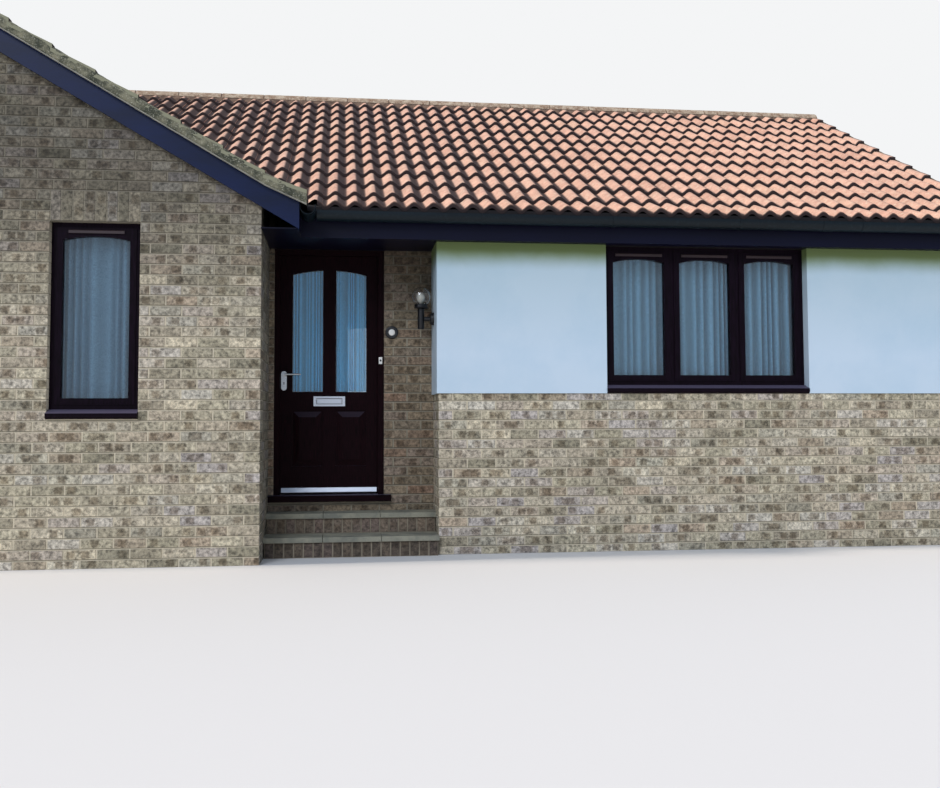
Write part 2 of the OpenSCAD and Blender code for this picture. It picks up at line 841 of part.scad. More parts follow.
// Raised and fielded panel with mitred bevels on its outer face
module raised_field(x0, x1, z0, z1, depth) {
    intersection() {
        along_x(x0, x1) polygon([
            [depth, z0], [0, z0 + bevel_w], [0, z1 - bevel_w], [depth, z1],
            [depth + 1, z1], [depth + 1, z0]]);
        translate([0, 0, z0]) linear_extrude(z1 - z0) polygon([
            [x0, depth], [x0 + bevel_w, 0], [x1 - bevel_w, 0], [x1, depth],
            [x1, depth + 1], [x0, depth + 1]]);
    }
}

module panel_recess(x0) {
    difference() {
        block(x0, x0 + light_w, -1, panel_cut, panel_z, panel_z + panel_h);
        raised_field(x0 + panel_margin, x0 + light_w - panel_margin,
            panel_z + panel_margin, panel_z + panel_h - panel_margin, panel_cut);
    }
}

module front_door() {
    color("#2b181b") placed() translate([0, leaf_y, 0]) difference() {
        block(leaf_x0, leaf_x1, 0, leaf_t, leaf_z0, leaf_z1);
        along_y(-1, leaf_t + 1) light_shapes();
        for (x = [light_x0, light_x1]) {
            panel_recess(x);
            translate([0, leaf_t, 0]) mirror([0, 1, 0]) panel_recess(x);
        }
        block(open_mid - door_slot_w / 2, open_mid + door_slot_w / 2, -1, leaf_t + 1,
            slot_z, slot_z + slot_h);
    }
}

// Plate and upper knuckle of each hinge, bored for the pin
module door_hinges() {
    color("#b59a5a") placed() for (z = hinge_zs)
        translate([hinge_x, hinge_y, z + hinge_h / 2 + run_gap]) difference() {
            union() {
                cylinder(hinge_h / 2 - run_gap, knuckle_r, knuckle_r);
                block(-hinge_plate_w - leaf_gap / 2, 0, leaf_y + leaf_t - hinge_y,
                    knuckle_lap - knuckle_r, 0, hinge_h / 2 - run_gap);
            }
            translate([0, 0, -1]) cylinder(hinge_h, hinge_pin_r + pin_play,
                hinge_pin_r + pin_play);
        }
}

// Plate, lower knuckle and pin of each hinge
module frame_hinges() {
    color("#b59a5a") placed() for (z = hinge_zs)
        translate([hinge_x, hinge_y, z]) union() {
            cylinder(hinge_h / 2, knuckle_r, knuckle_r);
            cylinder(hinge_h - 2, hinge_pin_r, hinge_pin_r);
            block(leaf_gap / 2 + knuckle_lap, hinge_plate_w, -knuckle_r,
                hinge_plate_t - knuckle_r, 0, hinge_h / 2);
        }
}

module door_glass() {
    color("#9fb4c8") placed() translate([0, leaf_y + (leaf_t - door_glass_t) / 2, 0])
        along_y(0, door_glass_t) light_shapes();
}

module weather_bar() {
    color("#c9ccd0") placed() translate([0, leaf_y, leaf_z0 + weather_bar_up])
        along_x(leaf_x0 + weather_bar_in, leaf_x1 - weather_bar_in) polygon([
            [0, 0], [-weather_bar_d, 0], [-weather_bar_d, weather_bar_d / 3],
            [-weather_bar_d / 3, weather_bar_h], [0, weather_bar_h]]);
}

// Plate with two lugs behind it that hold the pin of the flap
module letter_plate() {
    color("#d9dbdd") placed() difference() {
        translate([open_mid, leaf_y, 0]) union() {
            block(-letter_w / 2, letter_w / 2, -letter_t, 0, letter_z, letter_z + letter_h);
            for (x = [-slot_w / 2 - lug_t, slot_w / 2])
                block(x, x + lug_t, -1, flap_pin_y - leaf_y + lug_r - 1,
                    flap_pin_z - lug_r, flap_pin_z + lug_r);
        }
        block(open_mid - slot_w / 2, open_mid + slot_w / 2, leaf_y - letter_t - 1, leaf_y + 1,
            slot_z, slot_z + slot_h);
        translate([open_mid - slot_w / 2 - lug_t - 1, flap_pin_y, flap_pin_z])
            rotate([0, 90, 0])
                cylinder(slot_w + 2 * lug_t + 2, pin_r + pin_play, pin_r + pin_play);
    }
}

module letter_flap() {
    pin_l = slot_w + 2 * lug_t - 2;
    color("#d9dbdd") placed() union() {
        block(flap_x0, flap_x0 + flap_w, flap_pin_y - flap_t, flap_pin_y,
            flap_z1 - flap_h, flap_z1);
        translate([open_mid - pin_l / 2, flap_pin_y, flap_pin_z])
            rotate([0, 90, 0]) cylinder(pin_l, pin_r, pin_r);
    }
}

module door_handle_plate() {
    end_r = handle_plate_w / 2;
    color("#d4d2cc") placed() translate([spindle_x, leaf_y, handle_plate_z]) difference() {
        union() {
            block(-end_r, end_r, -handle_t, 0, end_r, handle_plate_h - end_r);
            for (z = [end_r, handle_plate_h - end_r])
                translate([0, 0, z]) rotate([90, 0, 0]) cylinder(handle_t, end_r, end_r);
        }
        translate([0, 1, key_z]) rotate([90, 0, 0]) cylinder(handle_t + 2, key_r, key_r);
        block(-key_r / 2, key_r / 2, -handle_t - 1, 1, key_z - 3 * key_r, key_z);
    }
}

module door_lever() {
    color("#d4d2cc") placed() translate([spindle_x, leaf_y - handle_t - run_gap, spindle_z]) {
        rotate([90, 0, 0]) cylinder(lever_out, lever_r, lever_r);
        translate([0, -lever_out + lever_r, 0]) rotate([0, 90, 0])
            cylinder(lever_l, lever_r - 1, lever_r - 1);
        translate([lever_l, -lever_out + lever_r, 0]) sphere(lever_r - 1);
    }
}

module bell_push() {
    color("#f0f0ee") placed() translate([door_right - push_in, frame_back, push_z]) union() {
        block(-push_w / 2, push_w / 2, -push_t, 0, -push_w, push_w);
        translate([0, -push_t, 0]) rotate([90, 0, 0]) cylinder(push_t / 2, push_w / 4, push_w / 4);
    }
}

// Domed disc inside a dark raised rim
module round_bell() {
    color("#f0efe9") placed() translate([door_right + bell_x, 0, bell_z])
        rotate([90, 0, 0]) rotate_extrude($fn = 64) polygon([
            [0, 0], [bell_r, 0], [bell_r, bell_t - 4], [bell_r - 3, bell_t],
            [bell_r - bell_rim_w, bell_t], [bell_r - bell_rim_w - 3, bell_t - 6],
            [0, bell_t - 3]]);
}

module porch_lamp() {
    collar_z = globe_z - neck_drop - collar_h - seat_gap;
    color("#1c1c1e") placed() translate([porch_w - render_t, -lamp_y, 0]) union() {
        translate([0, 0, lamp_arm_z]) rotate([0, -90, 0])
            cylinder(lamp_plate_t, lamp_plate_r, lamp_plate_r - 4);
        translate([-lamp_reach, 0, lamp_arm_z]) rotate([0, 90, 0])
            cylinder(lamp_reach - 1, lamp_arm_r, lamp_arm_r);
        translate([-lamp_reach, 0, lamp_arm_z - lamp_stem_drop])
            cylinder(collar_z - lamp_arm_z + lamp_stem_drop + 1, lamp_stem_r, lamp_stem_r);
        translate([-lamp_reach, 0, collar_z]) cylinder(collar_h / 2, lamp_stem_r, neck_r + 4);
        translate([-lamp_reach, 0, collar_z + collar_h / 2])
            cylinder(collar_h / 2, neck_r + 4, neck_r + 4);
    }
}

module lamp_globe() {
    color("#cfd8dc") placed()
        translate([porch_w - render_t - lamp_reach, -lamp_y, globe_z]) difference() {
            sphere(globe_r, $fn = 64);
            sphere(globe_r - glass_wall, $fn = 64);
            translate([0, 0, -neck_drop - globe_r]) cylinder(globe_r, globe_r, globe_r);
        }
}

// Pane with an arched head, drawn from its bottom left corner
module pane_shape(w, h) {
    arch_r = (w * w / 4 + pane_rise * pane_rise) / (2 * pane_rise);
    intersection() {
        square([w, h]);
        translate([w / 2, h - arch_r]) circle(arch_r, $fn = 180);
    }
}

// Sash with its arched pane cut through, standing at the origin
module sash(w, h) {
    translate([0, -sash_proud, 0]) along_y(0, sash_d) difference() {
        square([w, h]);
        translate([sash_w, sash_w]) pane_shape(w - 2 * sash_w, h - sash_w - sash_head);
    }
}

module sash_glass(w, h) {
    translate([sash_w, sash_d / 2 - sash_proud - glass_t / 2, sash_w])
        along_y(0, glass_t) pane_shape(w - 2 * sash_w, h - sash_w - sash_head);
}

module sash_vent(w, h) {
    translate([(w - vent_l) / 2, -sash_proud - vent_t, h - sash_head / 2 - vent_h / 2])
        along_x(0, vent_l) polygon([[0, 0], [vent_t, 0], [vent_t, vent_h],
            [vent_t / 2, vent_h], [0, vent_h - vent_t / 2]]);
}

// Fixed frame round a row of sashes, with its cill
module window_frame(w, h, count) {
    pitch = (w - 2 * window_frame_w + mullion_w) / count;
    difference() {
        block(0, w, 0, window_d, window_cill_h, h);
        for (i = [0 : count - 1])
            translate([window_frame_w + i * pitch, 0, 0])
                block(0, pitch - mullion_w, -1, window_d + 1,
                    window_cill_h + window_frame_w, h - window_frame_w);
    }
    for (i = [0 : count - 1])
        translate([window_frame_w + i * pitch, 0, window_cill_h + window_frame_w])
            sash(pitch - mullion_w, h - window_cill_h - 2 * window_frame_w);
    along_x(0, w) polygon([
        [-window_back - window_cill_out, cill_drip],
        [-window_back - window_cill_out, cill_nose_h],
        [-sash_proud, window_cill_h], [window_d, window_cill_h], [window_d, 0],
        [cill_drip - window_back - window_cill_out, 0]]);
}

// Do the same in every sash of a window
module each_sash(w, count) {
    pitch = (w - 2 * window_frame_w + mullion_w) / count;
    for (i = [0 : count - 1])
        translate([window_frame_w + i * pitch, 0, window_cill_h + window_frame_w]) children();
}

function sash_h(h) = h - window_cill_h - 2 * window_frame_w;

// Place a piece at each of the three-light windows
module at_wide_windows() {
    translate([wide_x, wide_front_y, plinth_z]) children();
    to_rear() translate([wide_x, main_front_y + window_back, plinth_z]) children();
}

module at_wing_narrow_windows() {
    for (x = [narrow_left_x, narrow_right_x])
        translate([x, wing_front_y + window_back, narrow_z0]) children();
}

module at_narrow_windows() {
    at_wing_narrow_windows() children();
    to_rear() {
        at_wing_narrow_windows() children();
        translate([rear_narrow_x, main_front_y + window_back, narrow_z0]) children();
    }
}

module wide_window_frames() {
    color("#2b181b") placed() at_wide_windows() window_frame(wide_w, soffit_z - plinth_z, 3);
}

module wide_window_glass() {
    color("#9fb4c8") placed() at_wide_windows() each_sash(wide_w, 3)
        sash_glass(wide_sash_w, sash_h(soffit_z - plinth_z));
}

module narrow_window_frames() {
    color("#2b181b") placed() at_narrow_windows() window_frame(narrow_w, narrow_h, 1);
}

module narrow_window_glass() {
    color("#9fb4c8") placed() at_narrow_windows() each_sash(narrow_w, 1)
        sash_glass(narrow_sash_w, sash_h(narrow_h));
}

module slot_vents() {
    color("#6b6a6e") placed() {
        at_wide_windows() each_sash(wide_w, 3)
            sash_vent(wide_sash_w, sash_h(soffit_z - plinth_z));
        at_narrow_windows() each_sash(narrow_w, 1) sash_vent(narrow_sash_w, sash_h(narrow_h));
    }
}

module curtain(w, h) {
    translate([curtain_in, window_d + curtain_gap, window_cill_h])
        cube([w - 2 * curtain_in, curtain_t, h - window_cill_h]);
}

module net_curtains() {
    color("#e9ecef") placed() {
        translate([wide_x, wide_front_y, plinth_z])
            curtain(wide_w, soffit_z - plinth_z);
        at_wing_narrow_windows() curtain(narrow_w, narrow_h);
    }
}

module tread_row(y0, y1, z1) {
    row_w = porch_w - 2 * step_joint;
    slab_w = (row_w - 2 * step_joint) / 3;
    for (i = [0 : 2])
        translate([step_joint + i * (slab_w + step_joint), 0, 0])
            block(0, slab_w, y0, y1, z1 - slab_t, z1);
}

module step_slabs() {
    color("#8f9486") placed() {
        tread_row(-upper_tread, 0, 2 * step_rise);
        tread_row(-upper_tread - lower_tread, tread_nose - upper_tread, step_rise);
    }
}

module step_brickwork() {
    upper_riser = tread_nose - upper_tread;
    color("#8a6f58") placed()
        along_x(3 * step_joint, porch_w - 3 * step_joint) polygon([
            [0, 0], [0, 2 * step_rise - slab_t], [upper_riser, 2 * step_rise - slab_t],
            [upper_riser, step_rise - slab_t], [upper_riser - lower_tread, step_rise - slab_t],
            [upper_riser - lower_tread, 0]]);
}

wing_front_wall();
wing_rear_wall();
wing_left_wall();
wing_return_wall();
porch_wall();
porch_wall_base();
porch_wall_head();
front_plinth_wall();
front_render_left();
front_render_right();
front_wall_head();
right_gable_wall();
rear_wall();
floor_slab();
ceiling();
main_roof_front();
main_roof_rear();
wing_roof_left();
wing_roof_right_front();
wing_roof_right_rear();
ridge_tiles();
front_fascia();
front_soffit();
rear_eaves_boards();
wing_eaves_boards();
wing_bargeboards();
gable_bargeboards();
verge_bedding();
main_gutters();
wing_gutters();
door_frame();
door_cill();
front_door();
door_glass();
weather_bar();
door_hinges();
frame_hinges();
letter_plate();
letter_flap();
door_handle_plate();
door_lever();
bell_push();
round_bell();
porch_lamp();
lamp_globe();
wide_window_frames();
wide_window_glass();
narrow_window_frames();
narrow_window_glass();
slot_vents();
net_curtains();
step_slabs();
step_brickwork();
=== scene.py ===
"""Looks for a bungalow with a gable-fronted wing and a recessed porch.

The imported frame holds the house. This file dresses it: brickwork laid brick by brick, pantiles
laid tile by tile, and a finish for every surface. Sizes are metres on the plan's own axes, with
X = 0 at the wing's right face, Y = 0 at the porch wall and Z = 0 at the ground. PLAN_TO_FRAME
carries them to the frame.
"""

import logging
import math
import random
from dataclasses import dataclass, field
from enum import Enum
from functools import partial
from typing import Callable

import bpy
from mathutils import Matrix, Vector, noise


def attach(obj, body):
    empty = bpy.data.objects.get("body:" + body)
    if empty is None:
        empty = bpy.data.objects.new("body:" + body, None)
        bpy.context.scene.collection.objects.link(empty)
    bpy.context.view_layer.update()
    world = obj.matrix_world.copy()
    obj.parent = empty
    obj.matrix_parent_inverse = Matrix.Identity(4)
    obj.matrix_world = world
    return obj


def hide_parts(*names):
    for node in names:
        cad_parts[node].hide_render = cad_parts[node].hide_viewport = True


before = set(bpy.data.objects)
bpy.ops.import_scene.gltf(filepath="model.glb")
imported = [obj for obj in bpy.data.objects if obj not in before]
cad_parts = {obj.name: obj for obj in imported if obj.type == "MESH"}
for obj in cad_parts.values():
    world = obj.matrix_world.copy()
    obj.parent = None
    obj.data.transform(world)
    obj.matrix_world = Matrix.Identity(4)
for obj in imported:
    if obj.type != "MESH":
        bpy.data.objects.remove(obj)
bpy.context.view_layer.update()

log = logging.getLogger("bungalow")
PLAN_TO_FRAME = Vector((0.192, -2.965, 0.0))
HOUSE = "house"

Point = tuple[float, float, float]
Plan = tuple[float, float]
# A corner and its mark
Corner = tuple[Point, Point]
# A plan point of a valley and the way from it that is kept
Cut = tuple[Plan, Plan]
Node = bpy.types.Node
Socket = bpy.types.NodeSocket
Outputs = bpy.types.bpy_prop_collection
Add = Callable[..., Node]

# Ways across the plan
RIGHT, LEFT, REAR, FRONT = (1, 0), (-1, 0), (0, 1), (0, -1)
# The inputs of a Mix node for colours: how much of the second, the first, and the second
SHARE, UNDER, OVER = 0, 6, 7
# The walls start to darken at one height and are darkest at the other
DARK_FROM, DARK_FULL = 1.5, 2.9


# Shared helpers


def linear(hex_colour: str) -> tuple[float, float, float, float]:
    """Turns an sRGB colour into the linear one that a shader takes.

    Args:
        hex_colour: the colour as "#rrggbb".

    Returns:
        Red, green, blue and alpha, with alpha at 1.
    """
    parts = [int(hex_colour[i : i + 2], 16) / 255 for i in (1, 3, 5)]
    red, green, blue = (
        part / 12.92 if part <= 0.04045 else ((part + 0.055) / 1.055) ** 2.4 for part in parts
    )
    return red, green, blue, 1.0


def per_metre(size_mm: float) -> float:
    """Gives the texture scale at which one cell of a pattern is size_mm wide."""
    return 1000.0 / size_mm


def settle(node: Node, settings: dict) -> Node:
    """Sets a node's values and joins what feeds it.

    Args:
        node: the node.
        settings: for each of its own properties or input sockets, a value, an output socket, or
            a node, which stands for its first open output.

    Returns:
        The same node.
    """
    for key, value in settings.items():
        if isinstance(value, bpy.types.Node):
            value = next(output for output in value.outputs if output.enabled)
        if isinstance(value, bpy.types.NodeSocket):
            node.id_data.links.new(value, node.inputs[key])
        elif isinstance(key, str) and hasattr(node, key):
            setattr(node, key, value)
        else:
            node.inputs[key].default_value = value
    return node


def add_node(tree: bpy.types.NodeTree, kind: str, settings: dict | None = None) -> Node:
    """Adds a node, named by its type less "ShaderNode", with its settings and links."""
    return settle(tree.nodes.new(f"ShaderNode{kind}"), settings or {})


def put(name: str, data: bpy.types.ID) -> bpy.types.Object:
    """Puts a new object in the scene."""
    made = bpy.data.objects.new(name, data)
    bpy.context.scene.collection.objects.link(made)
    return made


# Drawing a piece


@dataclass(frozen=True)
class Line:
    """A line on the plan, and the way across it.

    Attributes:
        start: the plan point where it starts.
        along: the way it runs.
        out: the way across it, which a wall face looks or a roof slope climbs.
    """

    start: Plan
    along: Plan
    out: Plan

    def at(self, s: float, reach: float, z: float) -> Point:
        """Gives the point s along the line, reach across it and z up."""
        return (
            self.start[0] + self.along[0] * s + self.out[0] * reach,
            self.start[1] + self.along[1] * s + self.out[1] * reach,
            z,
        )

    def turn(self) -> float:
        """Gives 1 where the way across is anticlockwise from the way along, otherwise -1."""
        return self.along[0] * self.out[1] - self.along[1] * self.out[0]


@dataclass
class Draft:
    """One piece while it is drawn, on the plan's axes.

    Attributes:
        name: the piece's name.
        corners: its corners. The mark of each is its place within its own brick or tile and that
        unit's number from 0 to 1, which the finishes read as "laid"; on tiles and nets X holds
        painted shade.
        faces: its faces, as numbers of corners.
    """

    name: str
    corners: list[Corner] = field(default_factory=list)
    faces: list[tuple[int, ...]] = field(default_factory=list)

    def add(self, corners: list[Corner], faces: list[tuple[int, ...]]) -> None:
        """Adds a group of faces that share no corner with the rest.

        Args:
            corners: the group's corners.
            faces: its faces, numbered within the group.
        """
        base = len(self.corners)
        self.corners.extend(corners)
        self.faces.extend(tuple(base + i for i in face) for face in faces)

    def grid(self, rows: list[list[Corner]]) -> None:
        """Adds quads between rows of corners.

        Args:
            rows: rows of equal length.
        """
        wide = len(rows[0])
        faces = [
            (r * wide + c, r * wide + c + 1, (r + 1) * wide + c + 1, (r + 1) * wide + c)
            for r in range(len(rows) - 1)
            for c in range(wide - 1)
        ]
        self.add([corner for row in rows for corner in row], faces)

    def plain(self, rows: list[list[Point]], seed: float = 0.5) -> None:
        """Adds quads between rows of points that belong to one unit, numbered from 0 to 1."""
        self.grid([[(point, (0.0, 0.0, seed)) for point in row] for row in rows])

    def lathe(self, centre: Point, axis: int, profile: list[Plan], turns: int = 32) -> None:
        """Adds a turned shape.

        Args:
            centre: the point on the axis that the profile starts from.
            axis: the axis it is turned about, 0 to 2.
            profile: radius and distance along the axis, from one end to the other.
            turns: how many sides the round has.
        """
        first, second = (i for i in range(3) if i != axis)
        rows = []
        for radius, reach in profile:
            row = []
            for turn in range(turns + 1):
                angle = 2 * math.pi * turn / turns
                point = list(centre)
                point[first] += radius * math.cos(angle)
                point[second] += radius * math.sin(angle)
                point[axis] += reach
                row.append(tuple(point))
            rows.append(row)
        self.plain(rows)

    def piece(
        self, finish: "Finish", slot: str, body: str = HOUSE, soft_deg: float = 0.0
    ) -> bpy.types.Object:
        """Makes the object, dresses it and lets it ride on its body.

        Args:
            finish: its finish.
            slot: the record's material slot for its finish; it is not used.
            body: the CAD body it moves with.
            soft_deg: faces that meet at less than this are shaded as one surface.

        Returns:
            The new object.
        """
        mesh = bpy.data.meshes.new(self.name)
        points = [Vector(point) + PLAN_TO_FRAME for point, _ in self.corners]
        mesh.from_pydata(points, [], self.faces)
        laid = mesh.attributes.new("laid", "FLOAT_VECTOR", "POINT")
        laid.data.foreach_set("vector", [value for _, mark in self.corners for value in mark])
        if soft_deg:
            mesh.shade_smooth()
            mesh.set_sharp_from_angle(angle=math.radians(soft_deg))
        mesh.materials.append(finish.material())
        mesh.validate()
        made = put(self.name, mesh)
        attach(made, body)
        log.info("%s: %d faces, %s", self.name, len(mesh.polygons), finish.name)
        return made


# Finishes


def laid_at(add: Add) -> Outputs:
    """Gives a unit's place as X and Y and number as Z; on tiles and nets, X holds painted shade.
    """
    laid = add("Attribute", {"attribute_name": "laid"}).outputs["Vector"]
    return add("SeparateXYZ", {"Vector": laid}).outputs


def own_tone(add: Add, tones: tuple[str, ...]) -> tuple[Outputs, Node]:
    """Gives each brick or tile its own tone.

    Args:
        add: adds a node to the material.
        tones: the tones, from one end of the range to the other.

    Returns:
        What laid_at gives, and the node that gives the tone.
    """
    laid = laid_at(add)
    tone = add("ValToRGB", {"Fac": laid["Z"]})
    ramp = tone.color_ramp.elements
    while len(ramp) < len(tones):
        ramp.new(1.0)
    for i, (element, colour) in enumerate(zip(ramp, tones)):
        element.position = i / (len(tones) - 1)
        element.color = linear(colour)
    return laid, tone


def eaves_darkening(add: Add, place: Socket, low: float, high: float) -> Node:
    """Darkens a wall toward its eaves.

    Args:
        add: adds a node to the material.
        place: the place on the wall.
        low: what is left of the lightness near the ground.
        high: what is left of it under the eaves.

    Returns:
        The node that gives what is left of the lightness at that place.
    """
    height = add("SeparateXYZ", {"Vector": place}).outputs["Z"]
    return add("MapRange", {
        "interpolation_type": "SMOOTHSTEP", "From Min": DARK_FROM, "From Max": DARK_FULL,
        "To Min": low, "To Max": high, "Value": height,
    })


@dataclass(frozen=True)
class Finish:
    """A finish of one even colour, and the parent of the others.

    Attributes:
        name: the real material and how its surface was made.
        colour: its main colour.
        roughness: how far it scatters what it reflects, 0 to 1.
        ior: its index of refraction.
        metallic: 1 for bare metal, otherwise 0.
    """

    name: str
    colour: str
    roughness: float = 0.8
    ior: float = 1.5
    metallic: float = 0.0

    def material(self) -> bpy.types.Material:
        """Gives the material, made once for each name.

        Returns:
            The material.
        """
        known = bpy.data.materials.get(self.name)
        if known:
            return known
        made = bpy.data.materials.new(self.name)
        made.use_nodes = True
        made.node_tree.nodes.clear()
        add = partial(add_node, made.node_tree)
        settings = {
            "Base Color": linear(self.colour), "Roughness": self.roughness,
            "Metallic": self.metallic,
        }
        if not self.metallic:
            settings["IOR"] = self.ior
        shader = add("BsdfPrincipled", settings)
        add("OutputMaterial", {"Surface": shader})
        settle(shader, self.paint(add, add("TexCoord").outputs["Object"]))
        return made

    def paint(self, add: Add, place: Socket) -> dict:
        """Adds this finish's own pattern, which the plain one lacks."""
        return {}


@dataclass(frozen=True)
class Weathered(Finish):
    """A surface that varies in patches and has a fine grain.

    Attributes:
        patch: the colour of the patches, and how wide they are in millimetres.
        patch_share: how much of the surface they take, 0 to 1.
        grain: the width of the grain and its depth, in millimetres.
        fleck: the colour of small flecks, and how strong they are.
        stretch: how the patches are drawn out along X, Y and Z.
    """

    patch: tuple[str, float] = ("#808080", 300)
    patch_share: float = 0.5
    grain: Plan = (4, 0.5)
    fleck: tuple[str, float] = ("#606060", 0)
    stretch: Point = (1.0, 1.0, 1.0)

    def paint(self, add: Add, place: Socket) -> dict:
        """Lays patches, flecks and grain over the main colour.

        Args:
            add: adds a node to the material.
            place: the place on the object.

        Returns:
            What the shader takes.
        """
        patch, patch_mm = self.patch
        grain_mm, deep_mm = self.grain
        fleck, fleck_share = self.fleck
        drawn = add("Mapping", {"Scale": self.stretch, "Vector": place})
        patches = add("TexNoise", {
            "Scale": per_metre(patch_mm), "Detail": 6.0, "Roughness": 0.62, "Vector": drawn,
        })
        share = add("MapRange", {
            "From Min": 0.62 - 0.4 * self.patch_share, "From Max": 0.85 - 0.4 * self.patch_share,
            "Value": patches,
        })
        grain = add("TexNoise", {
            "Scale": per_metre(grain_mm), "Detail": 3.0, "Roughness": 0.7, "Vector": place,
        })
        coats = [(share, patch)]
        if fleck_share:
            flecks = add("MapRange", {
                "From Min": 0.55, "From Max": 0.68, "To Max": fleck_share, "Value": grain,
            })
            coats.append((flecks, fleck))
        colour = linear(self.colour)
        for share, coat in coats:
            colour = add("Mix", {
                "data_type": "RGBA", SHARE: share, UNDER: colour, OVER: linear(coat),
            })
        bump = add("Bump", {"Strength": 0.8, "Distance": deep_mm / 1000, "Height": grain})
        return {"Base Color": colour, "Normal": bump}


@dataclass(frozen=True)
class FacingBrick(Finish):
    """Sand-faced clay brick, moulded and fired.

    Each brick has its own tone, about half have dark squarish kiss marks, sand grit breaks the
    light, and the wall grows darker toward the eaves.

    Attributes:
        tones: the tones that a brick may have, from one end of the range to the other.
        kiss: what is left of its colour in the kiss marks, where bricks stacked on it in the kiln.
        clean: what is left of the brick's lightness near the ground.
        sooted: what is left of it at the height where the wall is darkest.
        half_high: half a brick's height.
        unmarked: the share of the bricks that lack each mark.
        ragged: how far the marks' edges wander.
    """

    tones: tuple[str, ...] = ()
    kiss: str = "#b3aaa0"
    clean: float = 1.02
    sooted: float = 0.33
    half_high: float = 0.0325
    unmarked: float = 0.54
    ragged: float = 0.03

    def paint(self, add: Add, place: Socket) -> dict:
        """Colours each brick by its number and marks some of them.

        Args:
            add: adds a node to the material.
            place: the place on the object.

        Returns:
            What the shader takes.
        """
        laid, tone = own_tone(add, self.tones)
        cloud = add("TexNoise", {
            "Scale": per_metre(26.0), "Detail": 5.0, "Roughness": 0.72, "Vector": place,
        })
        shaded = add("MapRange", {
            "From Min": 0.36, "From Max": 0.64, "To Min": 0.42, "To Max": 1.66, "Value": cloud,
        })
        clean = eaves_darkening(add, place, self.clean, self.sooted)
        light = add("Math", {"operation": "MULTIPLY", 0: shaded, 1: clean})
        body = add("VectorMath", {"operation": "SCALE", 0: tone, "Scale": light})
        # Three chances for each brick decide whether it has each of two marks, and where
        chance = add("TexWhiteNoise", {"noise_dimensions": "1D", "W": laid["Z"]})
        dice = add("SeparateColor", {"Color": chance.outputs["Color"]}).outputs
        marks = []
        for near, far, where, whether in (
            (0.035, 0.10, "Green", "Red"), (0.12, 0.185, "Blue", "Green"),
        ):
            middle = add("MapRange", {"To Min": near, "To Max": far, "Value": dice[where]})
            aside = add("Math", {"operation": "SUBTRACT", 0: laid["X"], 1: middle})
            width = add("Math", {"operation": "ABSOLUTE", 0: aside})
            edge = add("Math", {"operation": "MULTIPLY_ADD", 0: cloud, 1: self.ragged, 2: width})
            spot = add("MapRange", {"From Min": 0.053, "From Max": 0.036, "Value": edge})
            has = add("Math", {"operation": "GREATER_THAN", 0: dice[whether], 1: self.unmarked})
            marks.append(add("Math", {"operation": "MULTIPLY", 0: spot, 1: has}))
        marked = add("Math", {"operation": "MAXIMUM", 0: marks[0], 1: marks[1]})
        inward = add("Math", {"operation": "PINGPONG", 0: laid["Y"], 1: self.half_high})
        edge = add("MapRange", {
            "From Min": 0.002, "From Max": 0.013, "To Max": 0.85, "Value": inward,
        })
        amount = add("Math", {"operation": "MULTIPLY", 0: marked, 1: edge})
        colour = add("Mix", {
            "data_type": "RGBA", "blend_type": "MULTIPLY", SHARE: amount, UNDER: body,
            OVER: linear(self.kiss),
        })
        # Sand grit of about 1.5 mm is drawn at 5 mm, so that it shows from the camera
        grit = add("TexNoise", {
            "Scale": per_metre(5.0), "Detail": 3.0, "Roughness": 0.75, "Vector": place,
        })
        bump = add("Bump", {"Strength": 0.7, "Distance": 0.0012, "Height": grit})
        return {"Base Color": colour, "Normal": bump}


@dataclass(frozen=True)
class MortarAndPlaster(Weathered):
    """Sand and lime mortar on a wall's outer face, and skimmed plaster inside.

    Attributes:
        plaster: the colour of the plaster.
        outward: the way the wall's outer faces look.
        clean: what is left of the mortar's lightness near the ground.
        sooted: what is left of it at the height where the wall is darkest.
        gauge: the height of a course.
        bed: the height of the first course's foot.
        shadow: how far under the next course the dark of a joint starts, and where it is full.
    """

    plaster: str = "#e6e1d6"
    outward: Plan = FRONT
    clean: float = 1.02
    sooted: float = 0.33
    gauge: float = 0.075
    bed: float = 0.066
    shadow: Plan = (0.0055, 0.004)

    def paint(self, add: Add, place: Socket) -> dict:
        """Weathers the mortar, then paints the faces that look into the house.

        Args:
            add: adds a node to the material.
            place: the place on the object.

        Returns:
            What the shader takes.
        """
        taken = super().paint(add, place)
        clean = eaves_darkening(add, place, self.clean, self.sooted)
        # Each joint is struck back under the brick above it, where painted shade darkens it
        height = add("SeparateXYZ", {"Vector": place}).outputs["Z"]
        from_bed = add("Math", {"operation": "SUBTRACT", 0: height, 1: self.bed})
        course = add("Math", {"operation": "FLOORED_MODULO", 0: from_bed, 1: self.gauge})
        start, full = (self.gauge - under for under in self.shadow)
        damp_and_shade = add("MapRange", {
            "From Min": start, "From Max": full, "To Min": 1.0, "To Max": 0.36, "Value": course,
        })
        left = add("Math", {"operation": "MULTIPLY", 0: clean, 1: damp_and_shade})
        mortar = add("VectorMath", {"operation": "SCALE", 0: taken["Base Color"], "Scale": left})
        toward = add("VectorMath", {
            "operation": "DOT_PRODUCT", 0: add("NewGeometry").outputs["Normal"],
            1: (*self.outward, 0.0),
        })
        inside = add("Math", {"operation": "LESS_THAN", 0: toward, 1: -0.5})
        both = add("Mix", {
            "data_type": "RGBA", SHARE: inside, UNDER: mortar, OVER: linear(self.plaster),
        })
        return {**taken, "Base Color": both}


